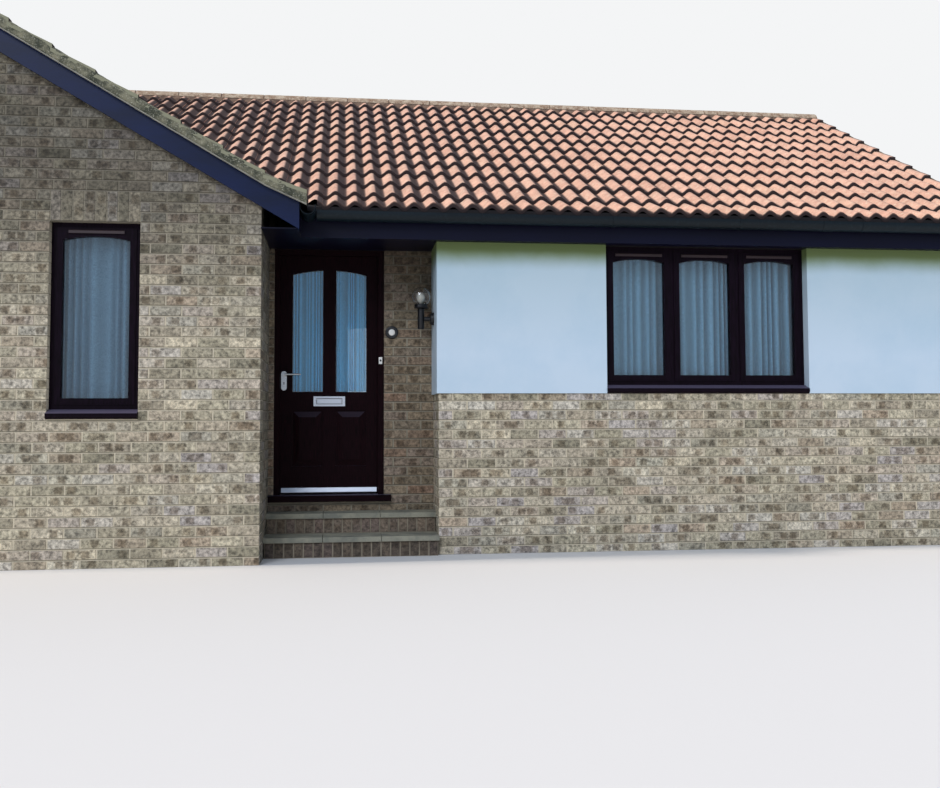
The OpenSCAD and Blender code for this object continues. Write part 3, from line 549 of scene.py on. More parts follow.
@dataclass(frozen=True)
class ConcreteTile(Finish):
    """Concrete pantile, extruded with a coloured slurry face and worn by the weather.

    Each tile has its own tone. Painted shade darkens the front edge and one side of each roll
    with its pan, and pale lichen dots the rolls.

    Attributes:
        tones: the tones that a tile may have.
        soot: the colour of the painted shade.
        lichen: the colour of the lichen.
        bare: the colour of a verge edge, which no slurry covers.
    """

    tones: tuple[str, ...] = ()
    soot: str = "#1f1315"
    lichen: str = "#cbc3ab"
    bare: str = "#8b8a72"

    def paint(self, add: Add, place: Socket) -> dict:
        """Colours each tile by its number, then adds dirt, lichen and grain.

        Args:
            add: adds a node to the material.
            place: the place on the object.

        Returns:
            What the shader takes.
        """
        laid, tone = own_tone(add, self.tones)
        cloud = add("TexNoise", {
            "Scale": per_metre(120.0), "Detail": 6.0, "Roughness": 0.75, "Vector": place,
        })
        shaded = add("MapRange", {
            "From Min": 0.36, "From Max": 0.64, "To Min": 0.8, "To Max": 1.16, "Value": cloud,
        })
        colour = add("VectorMath", {"operation": "SCALE", 0: tone, "Scale": shaded})
        # "laid" X tells how far round to the painted-shade side, and Y the way up the tile from
        # its front
        low = add("MapRange", {
            "From Min": 0.38, "From Max": 0.64, "To Max": 0.90, "Value": laid["X"],
        })
        front = add("MapRange", {
            "From Min": 0.022, "From Max": 0.009, "To Max": 0.98, "Value": laid["Y"],
        })
        # Painted shade: one side of each roll with its pan, and the front edges, are darkened as
        # if in shadow
        shade_share = add("Math", {"operation": "MAXIMUM", 0: low, 1: front})
        spots = add("TexNoise", {
            "Scale": per_metre(30.0), "Detail": 5.0, "Roughness": 0.75, "Vector": place,
        })
        grown = add("MapRange", {
            "From Min": 0.50, "From Max": 0.68, "To Max": 0.62, "Value": spots,
        })
        # A verge edge is marked with -1 in place of the side
        at_verge = add("Math", {"operation": "LESS_THAN", 0: laid["X"], 1: -0.5})
        for share, coat in ((grown, self.lichen), (shade_share, self.soot), (at_verge, self.bare)):
            colour = add("Mix", {
                "data_type": "RGBA", SHARE: share, UNDER: colour, OVER: linear(coat),
            })
        bump = add("Bump", {"Strength": 0.6, "Distance": 0.002, "Height": spots})
        return {"Base Color": colour, "Normal": bump}


@dataclass(frozen=True)
class PaintedRender(Weathered):
    """Sand and cement render, floated by hand and painted.

    Green algae grows down from the wet top edge and fades out.

    Attributes:
        algae: the colour of the growth.
        damp_and_shade: the colour of the faint stain that runs down below it.
        top: the height of the panel's top.
        reach: how far down the growth goes.
        stain: how far down the stain goes.
    """

    algae: str = "#66773f"
    damp_and_shade: str = "#84a5a6"
    top: float = 2.43
    reach: float = 0.2
    stain: float = 0.85

    def paint(self, add: Add, place: Socket) -> dict:
        """Weathers the paint, then lets the algae creep down.

        Args:
            add: adds a node to the material.
            place: the place on the object.

        Returns:
            What the shader takes.
        """
        taken = super().paint(add, place)
        colour = taken["Base Color"]
        height = add("SeparateXYZ", {"Vector": place}).outputs["Z"]
        growth = add("TexNoise", {
            "Scale": per_metre(260.0), "Detail": 6.0, "Roughness": 0.6, "Vector": place,
        })
        wander = add("Math", {"operation": "MULTIPLY_ADD", 0: growth, 1: 0.05, 2: height})
        streaked = add("MapRange", {
            "From Min": self.top - self.stain, "From Max": self.top - 0.1, "To Max": 0.34,
            "Value": wander,
        })
        green = add("MapRange", {
            "interpolation_type": "SMOOTHSTEP", "From Min": self.top - self.reach,
            "From Max": self.top - 0.02, "To Max": 0.97, "Value": wander,
        })
        for share, coat in ((streaked, self.damp_and_shade), (green, self.algae)):
            colour = add("Mix", {
                "data_type": "RGBA", SHARE: share, UNDER: colour, OVER: linear(coat),
            })
        return {**taken, "Base Color": colour}


class Grain(Enum):
    """The way the grain of a piece of wood runs."""

    UPRIGHT = (1.0, 1.0, 0.06)
    LEVEL = (0.06, 1.0, 1.0)


@dataclass(frozen=True)
class StainedWood(Finish):
    """Hardwood, planed and stained.

    Fine dark lines run with the grain, and a painted highlight lightens the faces that look up.

    Attributes:
        line: the colour of the lines.
        top_highlight: the colour of a face that looks up, a painted highlight from the sky.
        grain: which way the lines run.
    """

    line: str = "#080405"
    top_highlight: str = "#625c70"
    grain: Grain = Grain.UPRIGHT

    def paint(self, add: Add, place: Socket) -> dict:
        """Draws the grain lines out along the wood.

        Args:
            add: adds a node to the material.
            place: the place on the object.

        Returns:
            What the shader takes.
        """
        drawn = add("Mapping", {"Scale": self.grain.value, "Vector": place})
        # Vessels of about 0.3 mm are drawn 6 mm apart, so that they show from the camera
        vessels = add("TexNoise", {
            "Scale": per_metre(6.0), "Detail": 4.0, "Roughness": 0.6, "Vector": drawn,
        })
        lines = add("MapRange", {"From Min": 0.40, "From Max": 0.68, "Value": vessels})
        # Painted highlight: faces that look up take a pale colour, as if lit by the sky
        normal = add("NewGeometry").outputs["True Normal"]
        up = add("SeparateXYZ", {"Vector": normal}).outputs["Z"]
        highlight_share = add("MapRange", {"From Min": 0.15, "From Max": 0.7, "To Max": 0.8, "Value": up})
        colour = linear(self.colour)
        for share, coat in ((lines, self.line), (highlight_share, self.top_highlight)):
            colour = add("Mix", {
                "data_type": "RGBA", SHARE: share, UNDER: colour, OVER: linear(coat),
            })
        bump = add("Bump", {"Strength": 0.4, "Distance": 0.0004, "Height": vessels})
        return {"Base Color": colour, "Normal": bump}


@dataclass(frozen=True)
class BrushedMetal(Finish):
    """Metal, brushed along its length.

    Attributes:
        brush_mm: how far apart the brush lines are drawn.
    """

    brush_mm: float = 3.0

    def paint(self, add: Add, place: Socket) -> dict:
        """Varies the roughness in fine level lines.

        Args:
            add: adds a node to the material.
            place: the place on the object.

        Returns:
            What the shader takes.
        """
        drawn = add("Mapping", {"Scale": (0.05, 1.0, 1.0), "Vector": place})
        lines = add("TexNoise", {
            "Scale": per_metre(self.brush_mm), "Detail": 2.0, "Vector": drawn,
        })
        rough = add("MapRange", {
            "From Min": 0.3, "From Max": 0.7, "To Min": self.roughness - 0.08,
            "To Max": self.roughness + 0.1, "Value": lines,
        })
        return {"Roughness": rough}


@dataclass(frozen=True)
class Glass(Finish):
    """Drawn or float glass, which lets light through and mirrors a little at a slant.

    Attributes:
        wave_mm: how far apart the slow waves in its face are.
    """

    wave_mm: float = 400.0

    def paint(self, add: Add, place: Socket) -> dict:
        """Makes the body clear and gives the face a slow wave.

        Args:
            add: adds a node to the material.
            place: the place on the object.

        Returns:
            What the shader takes.
        """
        waves = add("TexNoise", {"Scale": per_metre(self.wave_mm), "Vector": place})
        bump = add("Bump", {"Strength": 0.15, "Distance": 0.002, "Height": waves})
        return {"Transmission Weight": 1.0, "Normal": bump}


@dataclass(frozen=True)
class Net(Finish):
    """Polyester net, knitted, which shows its folds and lets some light through.

    Attributes:
        open_share: how much of the net is holes.
    """

    open_share: float = 0.35

    def paint(self, add: Add, place: Socket) -> dict:
        """Opens the net. Threads of 0.3 mm are drawn 6 mm apart, so that they show.

        Args:
            add: adds a node to the material.
            place: the place on the object.

        Returns:
            What the shader takes.
        """
        cells = add("TexNoise", {"Scale": per_metre(6.0), "Detail": 1.0, "Vector": place})
        # Painted shade darkens the net where its folds hang back
        fold_shade = add("MapRange", {
            "From Min": 0.15, "From Max": 0.8, "To Min": 0.5, "To Max": 1.2,
            "Value": laid_at(add)["X"],
        })
        colour = add("VectorMath", {
            "operation": "SCALE", 0: linear(self.colour)[:3], "Scale": fold_shade,
        })
        closed = add("MapRange", {
            "From Min": 0.35, "From Max": 0.6, "To Min": 1.0 - self.open_share, "Value": cells,
        })
        return {"Base Color": colour, "Alpha": closed, "Sheen Weight": 0.3}


WING_TONES = (
    "#aca38f", "#97907a", "#b6ad95", "#908874", "#aca08d", "#a7a099", "#c2baa4", "#9a8c77",
    "#aaa592", "#a89882", "#b8b2a3", "#857f6b", "#c0b59c", "#a69e8d",
)
# The porch's bricks, darkened with painted shade
SHADED_PORCH_TONES = ("#7d6f5b", "#706452", "#82745f", "#756859", "#7e7163", "#6c6250", "#816b59")
# The step bricks' tones, darkened with painted shade
SHADED_STEP_TONES = ("#716454", "#695d4f", "#776959", "#6d6154", "#726359", "#655a4c")
TILE_TONES = ("#cda38c", "#c89c87", "#d0a792", "#cb9f8a", "#c59883", "#cfa48e", "#ca9e8a")

# Buff and grey bricks with lilac and pink ones among them; the grit keeps them matt
FACING_BRICK = FacingBrick("facing_brick_sand_faced_clay", "#9c9074", 0.92, tones=WING_TONES)
# The same brick, browner, and darker with painted shade in the recessed porch
SHADED_PORCH_BRICK = FacingBrick(
    "porch_brick_sand_faced_clay", "#8c7658", 0.92, tones=SHADED_PORCH_TONES, sooted=0.24
)
# The facing brick in the wing's return, darkened all over with painted shade from the wing and the
# porch
SHADED_RETURN_BRICK = FacingBrick(
    "shaded_return_brick_sand_faced_clay", "#9c9074", 0.92, tones=WING_TONES, clean=0.50, sooted=0.17
)
# Bricks on edge, brown and worn by feet, darkened with painted shade
STEP_BRICK = FacingBrick(
    "step_brick_sand_faced_clay", "#94806c", 0.92, tones=SHADED_STEP_TONES, kiss="#dcd6ce", clean=0.98
)
# The same bricks at the foot of the steps, with the same painted shade, darker still with damp and
# splashed soil
FOOT_BRICK = FacingBrick(
    "step_foot_brick_sand_faced_clay", "#94806c", 0.92, tones=SHADED_STEP_TONES, kiss="#dcd6ce",
    clean=0.58,
)
# Pale salmon rolls, with painted shade making the front edges nearly black and the pans dark
PANTILE = ConcreteTile("pantile_extruded_concrete", "#d0a792", 0.88, tones=TILE_TONES)
# The CAD slopes under the tiles, which read as the dark gap over the gutter
FELT = Weathered("underlay_bitumen_felt", "#1d191a", 0.9, patch=("#131012", 300), grain=(6, 0.4))
# Mortar round the steps, dull, and darkened with painted shade
SHADED_STEP_MORTAR = Weathered(
    "step_mortar_sand_and_lime", "#8f8573", 0.95, patch=("#7c7261", 200), grain=(3.5, 1.0),
    fleck=("#5c574a", 0.5),
)
# Coarse and lumpy, green with moss in patches and pale where it has washed clean
VERGE_MORTAR = Weathered(
    "verge_mortar_trowelled", "#827f69", 0.95, patch=("#3f4235", 90), patch_share=0.62,
    grain=(11, 4.0), fleck=("#c4c2ae", 0.7),
)
# A thin pale board, the bright line between the verge mortar and the bargeboard
UNDERCLOAK = Weathered(
    "undercloak_fibre_cement", "#a3a195", 0.9, patch=("#858477", 80), grain=(5, 0.6)
)
# Tan with brown patches and white specks of lichen, so that each half-round looks old
RIDGE_TILE = Weathered(
    "ridge_tile_pressed_concrete", "#b7a892", 0.9, patch=("#846a54", 55), patch_share=0.62,
    grain=(10, 1.5), fleck=("#eee6d2", 0.6),
)
# Pinkish bedding, darkened in spots
RIDGE_MORTAR = Weathered(
    "ridge_mortar_trowelled", "#86705f", 0.95, patch=("#5d4c42", 70), grain=(10, 2.0),
    fleck=("#4f463a", 0.6),
)
# Plain grey troughs between the cut tiles
TROUGH = Weathered(
    "valley_trough_pressed_concrete", "#77726b", 0.9, patch=("#5a5750", 120), grain=(7, 0.8),
    fleck=("#46443e", 0.5),
)
# White paint tinted blue with painted shade lit by the sky, with the marks of the float, green
# under the soffit
RENDER = PaintedRender(
    "render_floated_and_painted", "#c8dae7", patch=("#bed4e3", 700), grain=(6, 0.9)
)
# Grey cast floor, a little uneven in tone
CONCRETE = Weathered(
    "concrete_cast", "#9a978e", 0.9, patch=("#85827a", 350), grain=(6, 0.8),
    fleck=("#6e6b64", 0.4),
)
# Nearly smooth and warm white
PLASTER = Weathered("plaster_skimmed", "#e6e1d6", 0.85, patch=("#dbd5c8", 700), grain=(8, 0.2))
# Grey-green with soft dark blotches of algae and a pressed grain, darkened with painted shade
SHADED_SLAB = Weathered(
    "paving_slab_pressed_concrete", "#949280", 0.85, patch=("#737469", 170), patch_share=0.55,
    grain=(7, 1.0), fleck=("#60625a", 0.5),
)
# Deep navy gloss with slow waves from the brush, so that the light slides along it
GLOSS_PAINT = Weathered(
    "bargeboard_gloss_painted_softwood", "#0c1a3f", 0.36, 1.33, patch=("#0b1530", 260),
    grain=(14, 0.15), stretch=(0.3, 1.0, 1.0),
)
# The same gloss in black-navy along the eaves
FASCIA_PAINT = Weathered(
    "fascia_gloss_painted_softwood", "#090a21", 0.4, 1.26, patch=("#08081a", 260),
    grain=(14, 0.15), stretch=(0.2, 0.2, 1.0),
)
# Blue-green black, with a dull film of dust
GUTTER = Weathered(
    "gutter_extruded_pvc", "#08161d", 0.42, 1.32, patch=("#071117", 240), grain=(25, 0.1),
    fleck=("#1d2e34", 0.3), stretch=(0.2, 0.2, 1.0),
)
# Nearly black rosewood with lines of grain that show only where the light strikes
JOINERY = StainedWood("joinery_stained_hardwood", "#1b090e", 0.42, 1.12)
JOINERY_LEVEL = StainedWood(
    "joinery_level_grain_stained_hardwood", "#1b090e", 0.42, 1.12, grain=Grain.LEVEL
)
# The windows' frames, a little bluer than the sheltered door
WINDOW_JOINERY = StainedWood("window_joinery_stained_hardwood", "#170c18", 0.42, 1.15)
# Clear panes; the slow wave bends what they mirror
DOOR_GLASS = Glass("door_glass_float", "#e4eef4", 0.02, 1.52)
WINDOW_GLASS = Glass("window_glass_float", "#dfeaf2", 0.02, 1.52)
LAMP_GLASS = Glass("lamp_globe_blown_glass", "#ffffff", 0.01, 1.5, wave_mm=60)
# Bright metal, dulled along the brush lines
ALUMINIUM = BrushedMetal("letter_plate_brushed_aluminium", "#ccd0d6", 0.45, metallic=1.0)
STEEL = BrushedMetal("door_furniture_satin_steel", "#cfd0cf", 0.32, metallic=1.0)
BRASS = BrushedMetal("hinge_rolled_brass", "#b8924a", 0.3, metallic=1.0)
# Soft black with the pits of the casting
IRON = Weathered(
    "lamp_cast_iron_painted_black", "#101115", 0.4, patch=("#0b0c0f", 50), grain=(4, 0.3)
)
# Dull red-brown, a shade lighter than the dark sash it sits in
VENT = Weathered(
    "slot_vent_moulded_plastic", "#382728", 0.5, patch=("#312223", 120), grain=(10, 0.1)
)
# Smooth and clean, the whitest thing in the porch
WHITE_PLASTIC = Weathered(
    "white_moulded_plastic", "#e9e9e4", 0.35, patch=("#dcdcd6", 60), grain=(6, 0.08)
)
# Opal, with a soft skin that hides the filament
OPAL = Weathered("lamp_bulb_opal_glass", "#b9bcb4", 0.12, patch=("#a4a79f", 40), grain=(8, 0.03))
# A hard black button in the white bell push
BUTTON = Weathered(
    "bell_button_moulded_phenolic", "#17181d", 0.3, patch=("#101116", 10), grain=(3, 0.03)
)
# Grey-blue net, thin enough for the dark room to show through
NET = Net("net_curtain_knitted_polyester", "#98b8cc", 0.9)
# The same net, washed paler, in the wide window
PALE_NET = Net("pale_net_knitted_polyester", "#a0c9de", 0.9)
# The same net, closer knit, in the door; its bright blue is a painted reflection of the sky
DOOR_NET_PAINTED_REFLECTION = Net("door_net_painted_reflection_knitted_polyester", "#6cc6f6", 0.9, open_share=0.2)
# The porch's own mortar, close to its bricks in tone, darkened with painted shade like them
SHADED_PORCH_WALL = MortarAndPlaster(
    "porch_mortar_sand_and_lime", "#968f7d", 0.95, patch=("#817a6a", 400), grain=(3.5, 1.0),
    fleck=("#7d745a", 0.4), sooted=0.24,
)
# Dark boarding over the wide window, with no courses, plastered on the room's side
HEAD_BOARD = MortarAndPlaster(
    "wall_head_stained_boarding", "#1c1416", 0.6, patch=("#140e10", 200), grain=(5, 0.3),
    gauge=9.0,
)


def wall_finish(name: str, outward: Plan, **soot: float) -> MortarAndPlaster:
    """Gives the mortar of a wall whose outer faces look one way.

    Args:
        name: the wall's name.
        outward: the way it looks.
        soot: the mortar's own clean and sooted, where it has them; the return's are painted shade.

    Returns:
        The finish, pale sandy joints outside and warm white plaster inside.
    """
    return MortarAndPlaster(
        f"{name}_mortar_sand_and_lime", "#d6cbb2", 0.95, patch=("#b9b09a", 400), grain=(3.5, 1.0),
        fleck=("#7d745a", 0.5), outward=outward, **soot,
    )


# Brickwork


@dataclass(frozen=True)
class Hole:
    """A doorway, window or other gap in brickwork, measured along the wall and up it."""

    left: float
    right: float
    foot: float
    head: float


@dataclass(frozen=True)
class WallFace(Line):
    """One outer face of a wall.

    Attributes:
        name: the brick piece's name.
        length: how long it is.
        top: the height that the brickwork stops at, for a distance along the wall.
        holes: its gaps.
        half_on: the courses, 0 for even and 1 for odd, that start with a half brick.
        ends: whether the start and the end are outer corners.
    """

    name: str
    length: float
    top: Callable[[float], float]
    holes: tuple[Hole, ...] = ()
    half_on: int = 0
    ends: tuple[bool, bool] = (True, True)


@dataclass
class Bricklayer:
    """Lays stretcher bond over a wall face, in metres.

    Attributes:
        long: a brick's length.
        high: its height.
        joint: the width of a joint.
        first_bed: the height of the lowest bed joint's foot.
        proud: how far a brick stands out from the mortar.
        sunk: how far its edges are set back into the mortar.
        arris: how far its edges are eased.
        lap: how far it stands out at an outer corner.
        least: the shortest piece of a brick.
        sliver: the lowest brick under a sloping top.
        stub: the lowest side of a brick that such a top cuts.
        touch: how far a gap may cut into a course before it interrupts it.
        wobble: how far a brick leans or stands out by chance.
        rise: how far its foot is out of line by chance.
        courses: how many courses there may be.
    """

    long: float = 0.215
    high: float = 0.065
    joint: float = 0.010
    first_bed: float = 0.061
    proud: float = 0.005
    sunk: float = 0.001
    arris: float = 0.0025
    lap: float = 0.003
    least: float = 0.045
    sliver: float = 0.02
    stub: float = 0.00625
    touch: float = 0.012
    wobble: float = 0.0007
    rise: float = 0.0008
    courses: int = 62

    def one(
        self, draft: Draft, face: WallFace, left: float, right: float, foot: float, head: float,
        upright: bool = False,
    ) -> None:
        """Lays one brick.

        Args:
            draft: the piece it belongs to.
            face: the wall face.
            left: where it starts along the wall.
            right: where it ends.
            foot: its lower edge.
            head: its upper edge.
            upright: whether it stands on end.
        """
        tops = [min(head, face.top(s)) for s in (right, left)]
        if max(tops) - foot < self.sliver:
            return
        proud = self.proud + random.uniform(-self.wobble, self.wobble)
        lean = random.uniform(-self.wobble, self.wobble)
        lean_up = random.uniform(-self.wobble, self.wobble)
        high_right, high_left = (max(top, foot + self.stub) for top in tops)
        corners = [(left, foot), (right, foot), (right, high_right), (left, high_left)]
        inner = [
            (s + across * self.arris, z + up * self.arris)
            for (s, z), (across, up) in zip(corners, ((1, 1), (-1, 1), (-1, -1), (1, -1)))
        ]
        seed = random.random()
        shift = 0.0 if upright else random.uniform(0, self.long - min(right - left, self.long))
        out = [-self.sunk] * 4 + [proud, proud + lean, proud + (lean + lean_up), proud + lean_up]
        marked = []
        for (s, z), bulge in zip(corners + inner, out):
            mark = (z - foot, s - left, seed) if upright else (s - left + shift, z - foot, seed)
            marked.append((face.at(s, bulge, z), mark))
        faces = [(4, 5, 6, 7), (0, 1, 5, 4), (1, 2, 6, 5), (2, 3, 7, 6), (3, 0, 4, 7)]
        if face.turn() > 0:
            faces = [each[::-1] for each in faces]
        draft.add(marked, faces)

    def spans(self, face: WallFace, foot: float, head: float) -> list[Plan]:
        """Finds the stretches of a course that no hole interrupts.

        Args:
            face: the wall face.
            foot: the course's lower edge.
            head: its upper edge.

        Returns:
            The start and end of each stretch.
        """
        before, after = (self.lap if end else 0.0 for end in face.ends)
        free = [(-before, face.length + after)]
        for hole in face.holes:
            if hole.foot >= head - self.touch or hole.head <= foot + self.touch:
                continue
            cut = []
            for left, right in free:
                if hole.left > left:
                    cut.append((left, min(right, hole.left)))
                if hole.right < right:
                    cut.append((max(left, hole.right), right))
            free = [(a, b) for a, b in cut if b - a > self.joint]
        return free

    def course(self, draft: Draft, face: WallFace, number: int) -> None:
        """Lays one course.

        Args:
            draft: the piece it belongs to.
            face: the wall face.
            number: the course, counted from the first bed joint.
        """
        gap = self.joint / 2
        bed = self.first_bed + number * (self.high + self.joint)
        foot = max(bed + gap, 0.0)
        head = bed + gap + self.high
        if head - foot < self.sliver:
            return
        step = self.long + self.joint
        phase = -gap + (step / 2 if (number + face.half_on) % 2 == 0 else 0.0)
        for left, right in self.spans(face, foot, head):
            cuts = [left]
            index = math.ceil((left - phase) / step)
            while phase + index * step < right:
                at = phase + index * step
                if at - cuts[-1] > self.least and right - at > self.least:
                    cuts.append(at)
                index += 1
            cuts.append(right)
            for start, end in zip(cuts, cuts[1:]):
                a = start + (gap if start != left else 0.0)
                b = end - (gap if end != right else 0.0)
                low = foot + random.uniform(-self.rise, self.rise)
                self.one(draft, face, a, b, low, head)

    def soldiers(self, draft: Draft, face: WallFace, hole: Hole) -> None:
        """Stands bricks on end over a window.

        Args:
            draft: the piece they belong to.
            face: the wall face.
            hole: the room they fill.
        """
        count = round((hole.right - hole.left) / (self.high + self.joint))
        step = (hole.right - hole.left) / count
        gap = self.joint / 2
        foot, head = hole.foot + gap, hole.head - gap
        for i in range(count):
            left = hole.left + i * step
            self.one(draft, face, left + gap, left + step - gap, foot, head, upright=True)

    def wall(self, face: WallFace, finish: Finish, soldiers: tuple[Hole, ...] = ()) -> None:
        """Lays the whole face.

        Args:
            face: the wall face.
            finish: the brick.
            soldiers: where bricks stand on end.
        """
        draft = Draft(face.name)
        for number in range(-1, self.courses):
            self.course(draft, face, number)
        for hole in soldiers:
            self.soldiers(draft, face, hole)
        draft.piece(finish, "brick")


@dataclass
class Roofline:
    """The height of the tiling, in metres, with its flatter bottom course.

    Attributes:
        runs: the distance from the tile edge to the ridge, over the main part and the wing.
        kick_run, kick_rise: the run and rise of the bottom course.
    """

    runs: Plan = (3.584, 3.379)
    eaves: float = 2.655
    kick_run: float = 0.3
    kick_rise: float = 0.135
    ridge: float = 4.585
    gauge: float = 0.345
    step: float = 0.020
    ridge_radius: float = 0.115

    def slope(self, run: float) -> float:
        """Gives the rise of the straight part over its run."""
        return (self.ridge - self.eaves - self.kick_rise) / (run - self.kick_run)

    def height(self, inward: float, run: float) -> float:
        """Gives the height at a distance in from the tile edge.

        Args:
            inward: the distance in plan.
            run: the distance from the tile edge to the ridge.

        Returns:
            The height of the tiling line.
        """
        if inward < self.kick_run:
            return self.eaves + inward * self.kick_rise / self.kick_run
        return self.eaves + self.kick_rise + (inward - self.kick_run) * self.slope(run)

    def fronts(self, run: float) -> list[float]:
        """Gives the front of each course, and the ridge as the end of the last.

        Args:
            run: the distance from the tile edge to the ridge.

        Returns:
            Their distances in from the tile edge.
        """
        plan = self.gauge * math.cos(math.atan(self.slope(run)))
        count = math.floor((run - self.kick_run - self.ridge_radius) / plan) + 1
        return [0.0] + [self.kick_run + k * plan for k in range(count)] + [run]


@dataclass
class Walls:
    """The brickwork of every outer wall, in metres.

    Attributes:
        doorway, cill: the left, right, foot and, for the cill, head, from the porch's left.
        windows: the left and right of the wing's windows.
        rear_windows: the left, right and foot of those in the rear wall.
        cover: how far the brickwork stops below the tiling, behind the bargeboards.
        hair: how far it stops below a soffit or a panel.
        above: a height over every wall, for gaps that run up to the top.
        risers: for each row of bricks on edge, its name, line, length, foot and top.
        edge_y, edge_top: how far the mortar at the gable's front edge reaches.
    """

    wing_w: float = 6.1
    wing_front: float = -0.845
    wing_rear: float = 6.775
    main_front: float = -0.445
    main_rear: float = 6.375
    main_len: float = 6.02
    porch_w: float = 1.338
    soffit: float = 2.43
    plinth: float = 1.244
    doorway: Point = (0.045, 0.93, 0.436)
    cill: tuple[float, float, float, float] = (0.004, 0.986, 0.385, 0.436)
    windows: tuple[Plan, Plan] = ((0.853, 1.479), (4.621, 5.247))
    window_foot: float = 1.05
    window_head: float = 2.461
    rear_windows: tuple[Point, Point] = ((1.66, 3.344, 1.244), (4.794, 5.42, 1.05))
    soldier_h: float = 0.225
    cover: float = 0.15
    hair: float = 0.001
    above: float = 9.0
    risers: tuple[tuple[str, Line, float, float, float], ...] = (
        ("lower_riser_bricks", Line((1.326, -0.500), LEFT, FRONT), 1.314, 0.0, 0.117),
        ("lower_riser_end_bricks", Line((1.326, -0.500), REAR, RIGHT), 0.055, 0.0, 0.117),
        ("upper_riser_bricks", Line((1.326, -0.230), LEFT, FRONT), 1.314, 0.155, 0.272),
    )
    edge_y: Plan = (-0.463, -0.17)
    edge_top: float = 2.62
    roofline: Roofline = field(default_factory=Roofline)

    def under(self, top: float) -> Callable[[float], float]:
        """Gives a rule that brickwork stops just under a level line."""
        return lambda along: top - self.hair

    def under_gable(self, length: float, run: float) -> Callable[[float], float]:
        """Gives a rule that a gable's brickwork stops under two slopes of one run."""
        return lambda along: self.roofline.height(run - abs(along - length / 2), run) - self.cover

    def faces(self) -> list[tuple[WallFace, Finish, tuple[Hole, ...]]]:
        """Gives every wall face with its brick and its soldier courses.

        Returns:
            The faces, in the order in which they are laid.
        """
        head = self.window_head + self.soldier_h
        gaps = tuple(Hole(a, b, self.window_foot, head) for a, b in self.windows)
        arches = tuple(Hole(a, b, self.window_head, head) for a, b in self.windows)
        door = tuple(
            Hole(self.porch_w - right, self.porch_w - left, foot, head)
            for left, right, foot, head in ((*self.doorway, self.above), self.cill)
        )
        rear = tuple(Hole(*window, self.above) for window in self.rear_windows)
        low, base = self.under(self.soffit), self.under(self.plinth)
        main_run, wing_run = self.roofline.runs
        gable = self.under_gable(self.wing_w, wing_run)
        main_d = self.main_rear - self.main_front
        main_gable = self.under_gable(main_d, main_run)
        wing_d = self.wing_rear - self.wing_front
        start_only, end_only, neither = (True, False), (False, True), (False, False)
        window_wall = {"holes": gaps, "half_on": 1}
        rows = (
            ("wing_front", (0.0, self.wing_front), LEFT, FRONT, self.wing_w, gable, window_wall),
            ("wing_rear", (0.0, self.wing_rear), LEFT, REAR, self.wing_w, gable, window_wall),
            ("wing_left", (-self.wing_w, self.wing_front), REAR, LEFT, wing_d, low, {}),
            ("wing_return", (0.0, self.wing_front), REAR, RIGHT, -self.wing_front, low,
             {"ends": start_only}),
            ("wing_rear_return", (0.0, self.main_rear), REAR, RIGHT,
             self.wing_rear - self.main_rear, low, {"ends": end_only}),
            ("porch", (self.porch_w, 0.0), LEFT, FRONT, self.porch_w, low,
             {"holes": door, "ends": neither}),
            ("plinth", (self.porch_w, self.main_front), RIGHT, FRONT,
             self.main_len - self.porch_w, base, {"half_on": 1}),
            ("plinth_return", (self.porch_w, self.main_front), REAR, LEFT, -self.main_front,
             base, {"ends": start_only}),
            ("right_gable", (self.main_len, self.main_front), REAR, RIGHT, main_d, main_gable,
             {}),
            ("rear", (self.main_len, self.main_rear), LEFT, REAR, self.main_len, low,
             {"holes": rear, "half_on": 1, "ends": start_only}),
        )
        # The wing's return and the porch take bricks darkened with painted shade
        bricks = {"wing_return": SHADED_RETURN_BRICK, "porch": SHADED_PORCH_BRICK}
        return [
            (
                WallFace(start, along, out, f"{name}_bricks", length, stop, **more),
                bricks.get(name, FACING_BRICK),
                arches if more is window_wall else (),
            )
            for name, start, along, out, length, stop, more in rows
        ]

    def build(self) -> None:
        """Lays every face and the risers, and backs the gable's front edge with mortar."""
        layer = Bricklayer()
        for face, brick, soldiers in self.faces():
            layer.wall(face, brick, soldiers)
        for name, line, length, foot, top in self.risers:
            draft = Draft(name)
            face = WallFace(line.start, line.along, line.out, name, length, self.under(top))
            layer.soldiers(draft, face, Hole(0.0, length, foot, top))
            draft.piece(STEP_BRICK if foot else FOOT_BRICK, "brick")
        edge = Draft("gable_edge_mortar")
        x = self.main_len + self.hair
        edge.plain([[(x, y, z) for y in self.edge_y] for z in (0.0, self.edge_top)])
        edge.piece(wall_finish("gable_edge", RIGHT), "mortar")


# Roof


def lump(size: float, *place: float) -> float:
    """Gives a soft lump at a place in a field of them, up to size either way."""
    return size * noise.noise(Vector(place))


def beyond(cut: Cut, point: Point) -> float:
    """Gives how far a point is past a valley, on the side that is kept."""
    (px, py), (nx, ny) = cut
    return (point[0] - px) * nx + (point[1] - py) * ny


@dataclass(frozen=True)
class Slope(Line):
    """One roof slope. Its line is the tile edge, and the way across runs up to the ridge.

    Attributes:
        name: the tile piece's name.
        width: the length of the tile edge.
        run: the distance from the tile edge to the ridge.
        cuts: where a valley cuts the bottom course and the others, if one does.
    """

    name: str
    width: float
    run: float
    cuts: tuple[Cut, Cut] | None = None

    def cut(self, course: int) -> Cut | None:
        """Gives where a valley cuts a course, 0 being the bottom one."""
        return self.cuts[min(course, 1)] if self.cuts else None

    def verges(self) -> tuple[bool, bool]:
        """Tells whether the start and the end are verges; a cut slope ends in a valley."""
        return True, not self.cuts


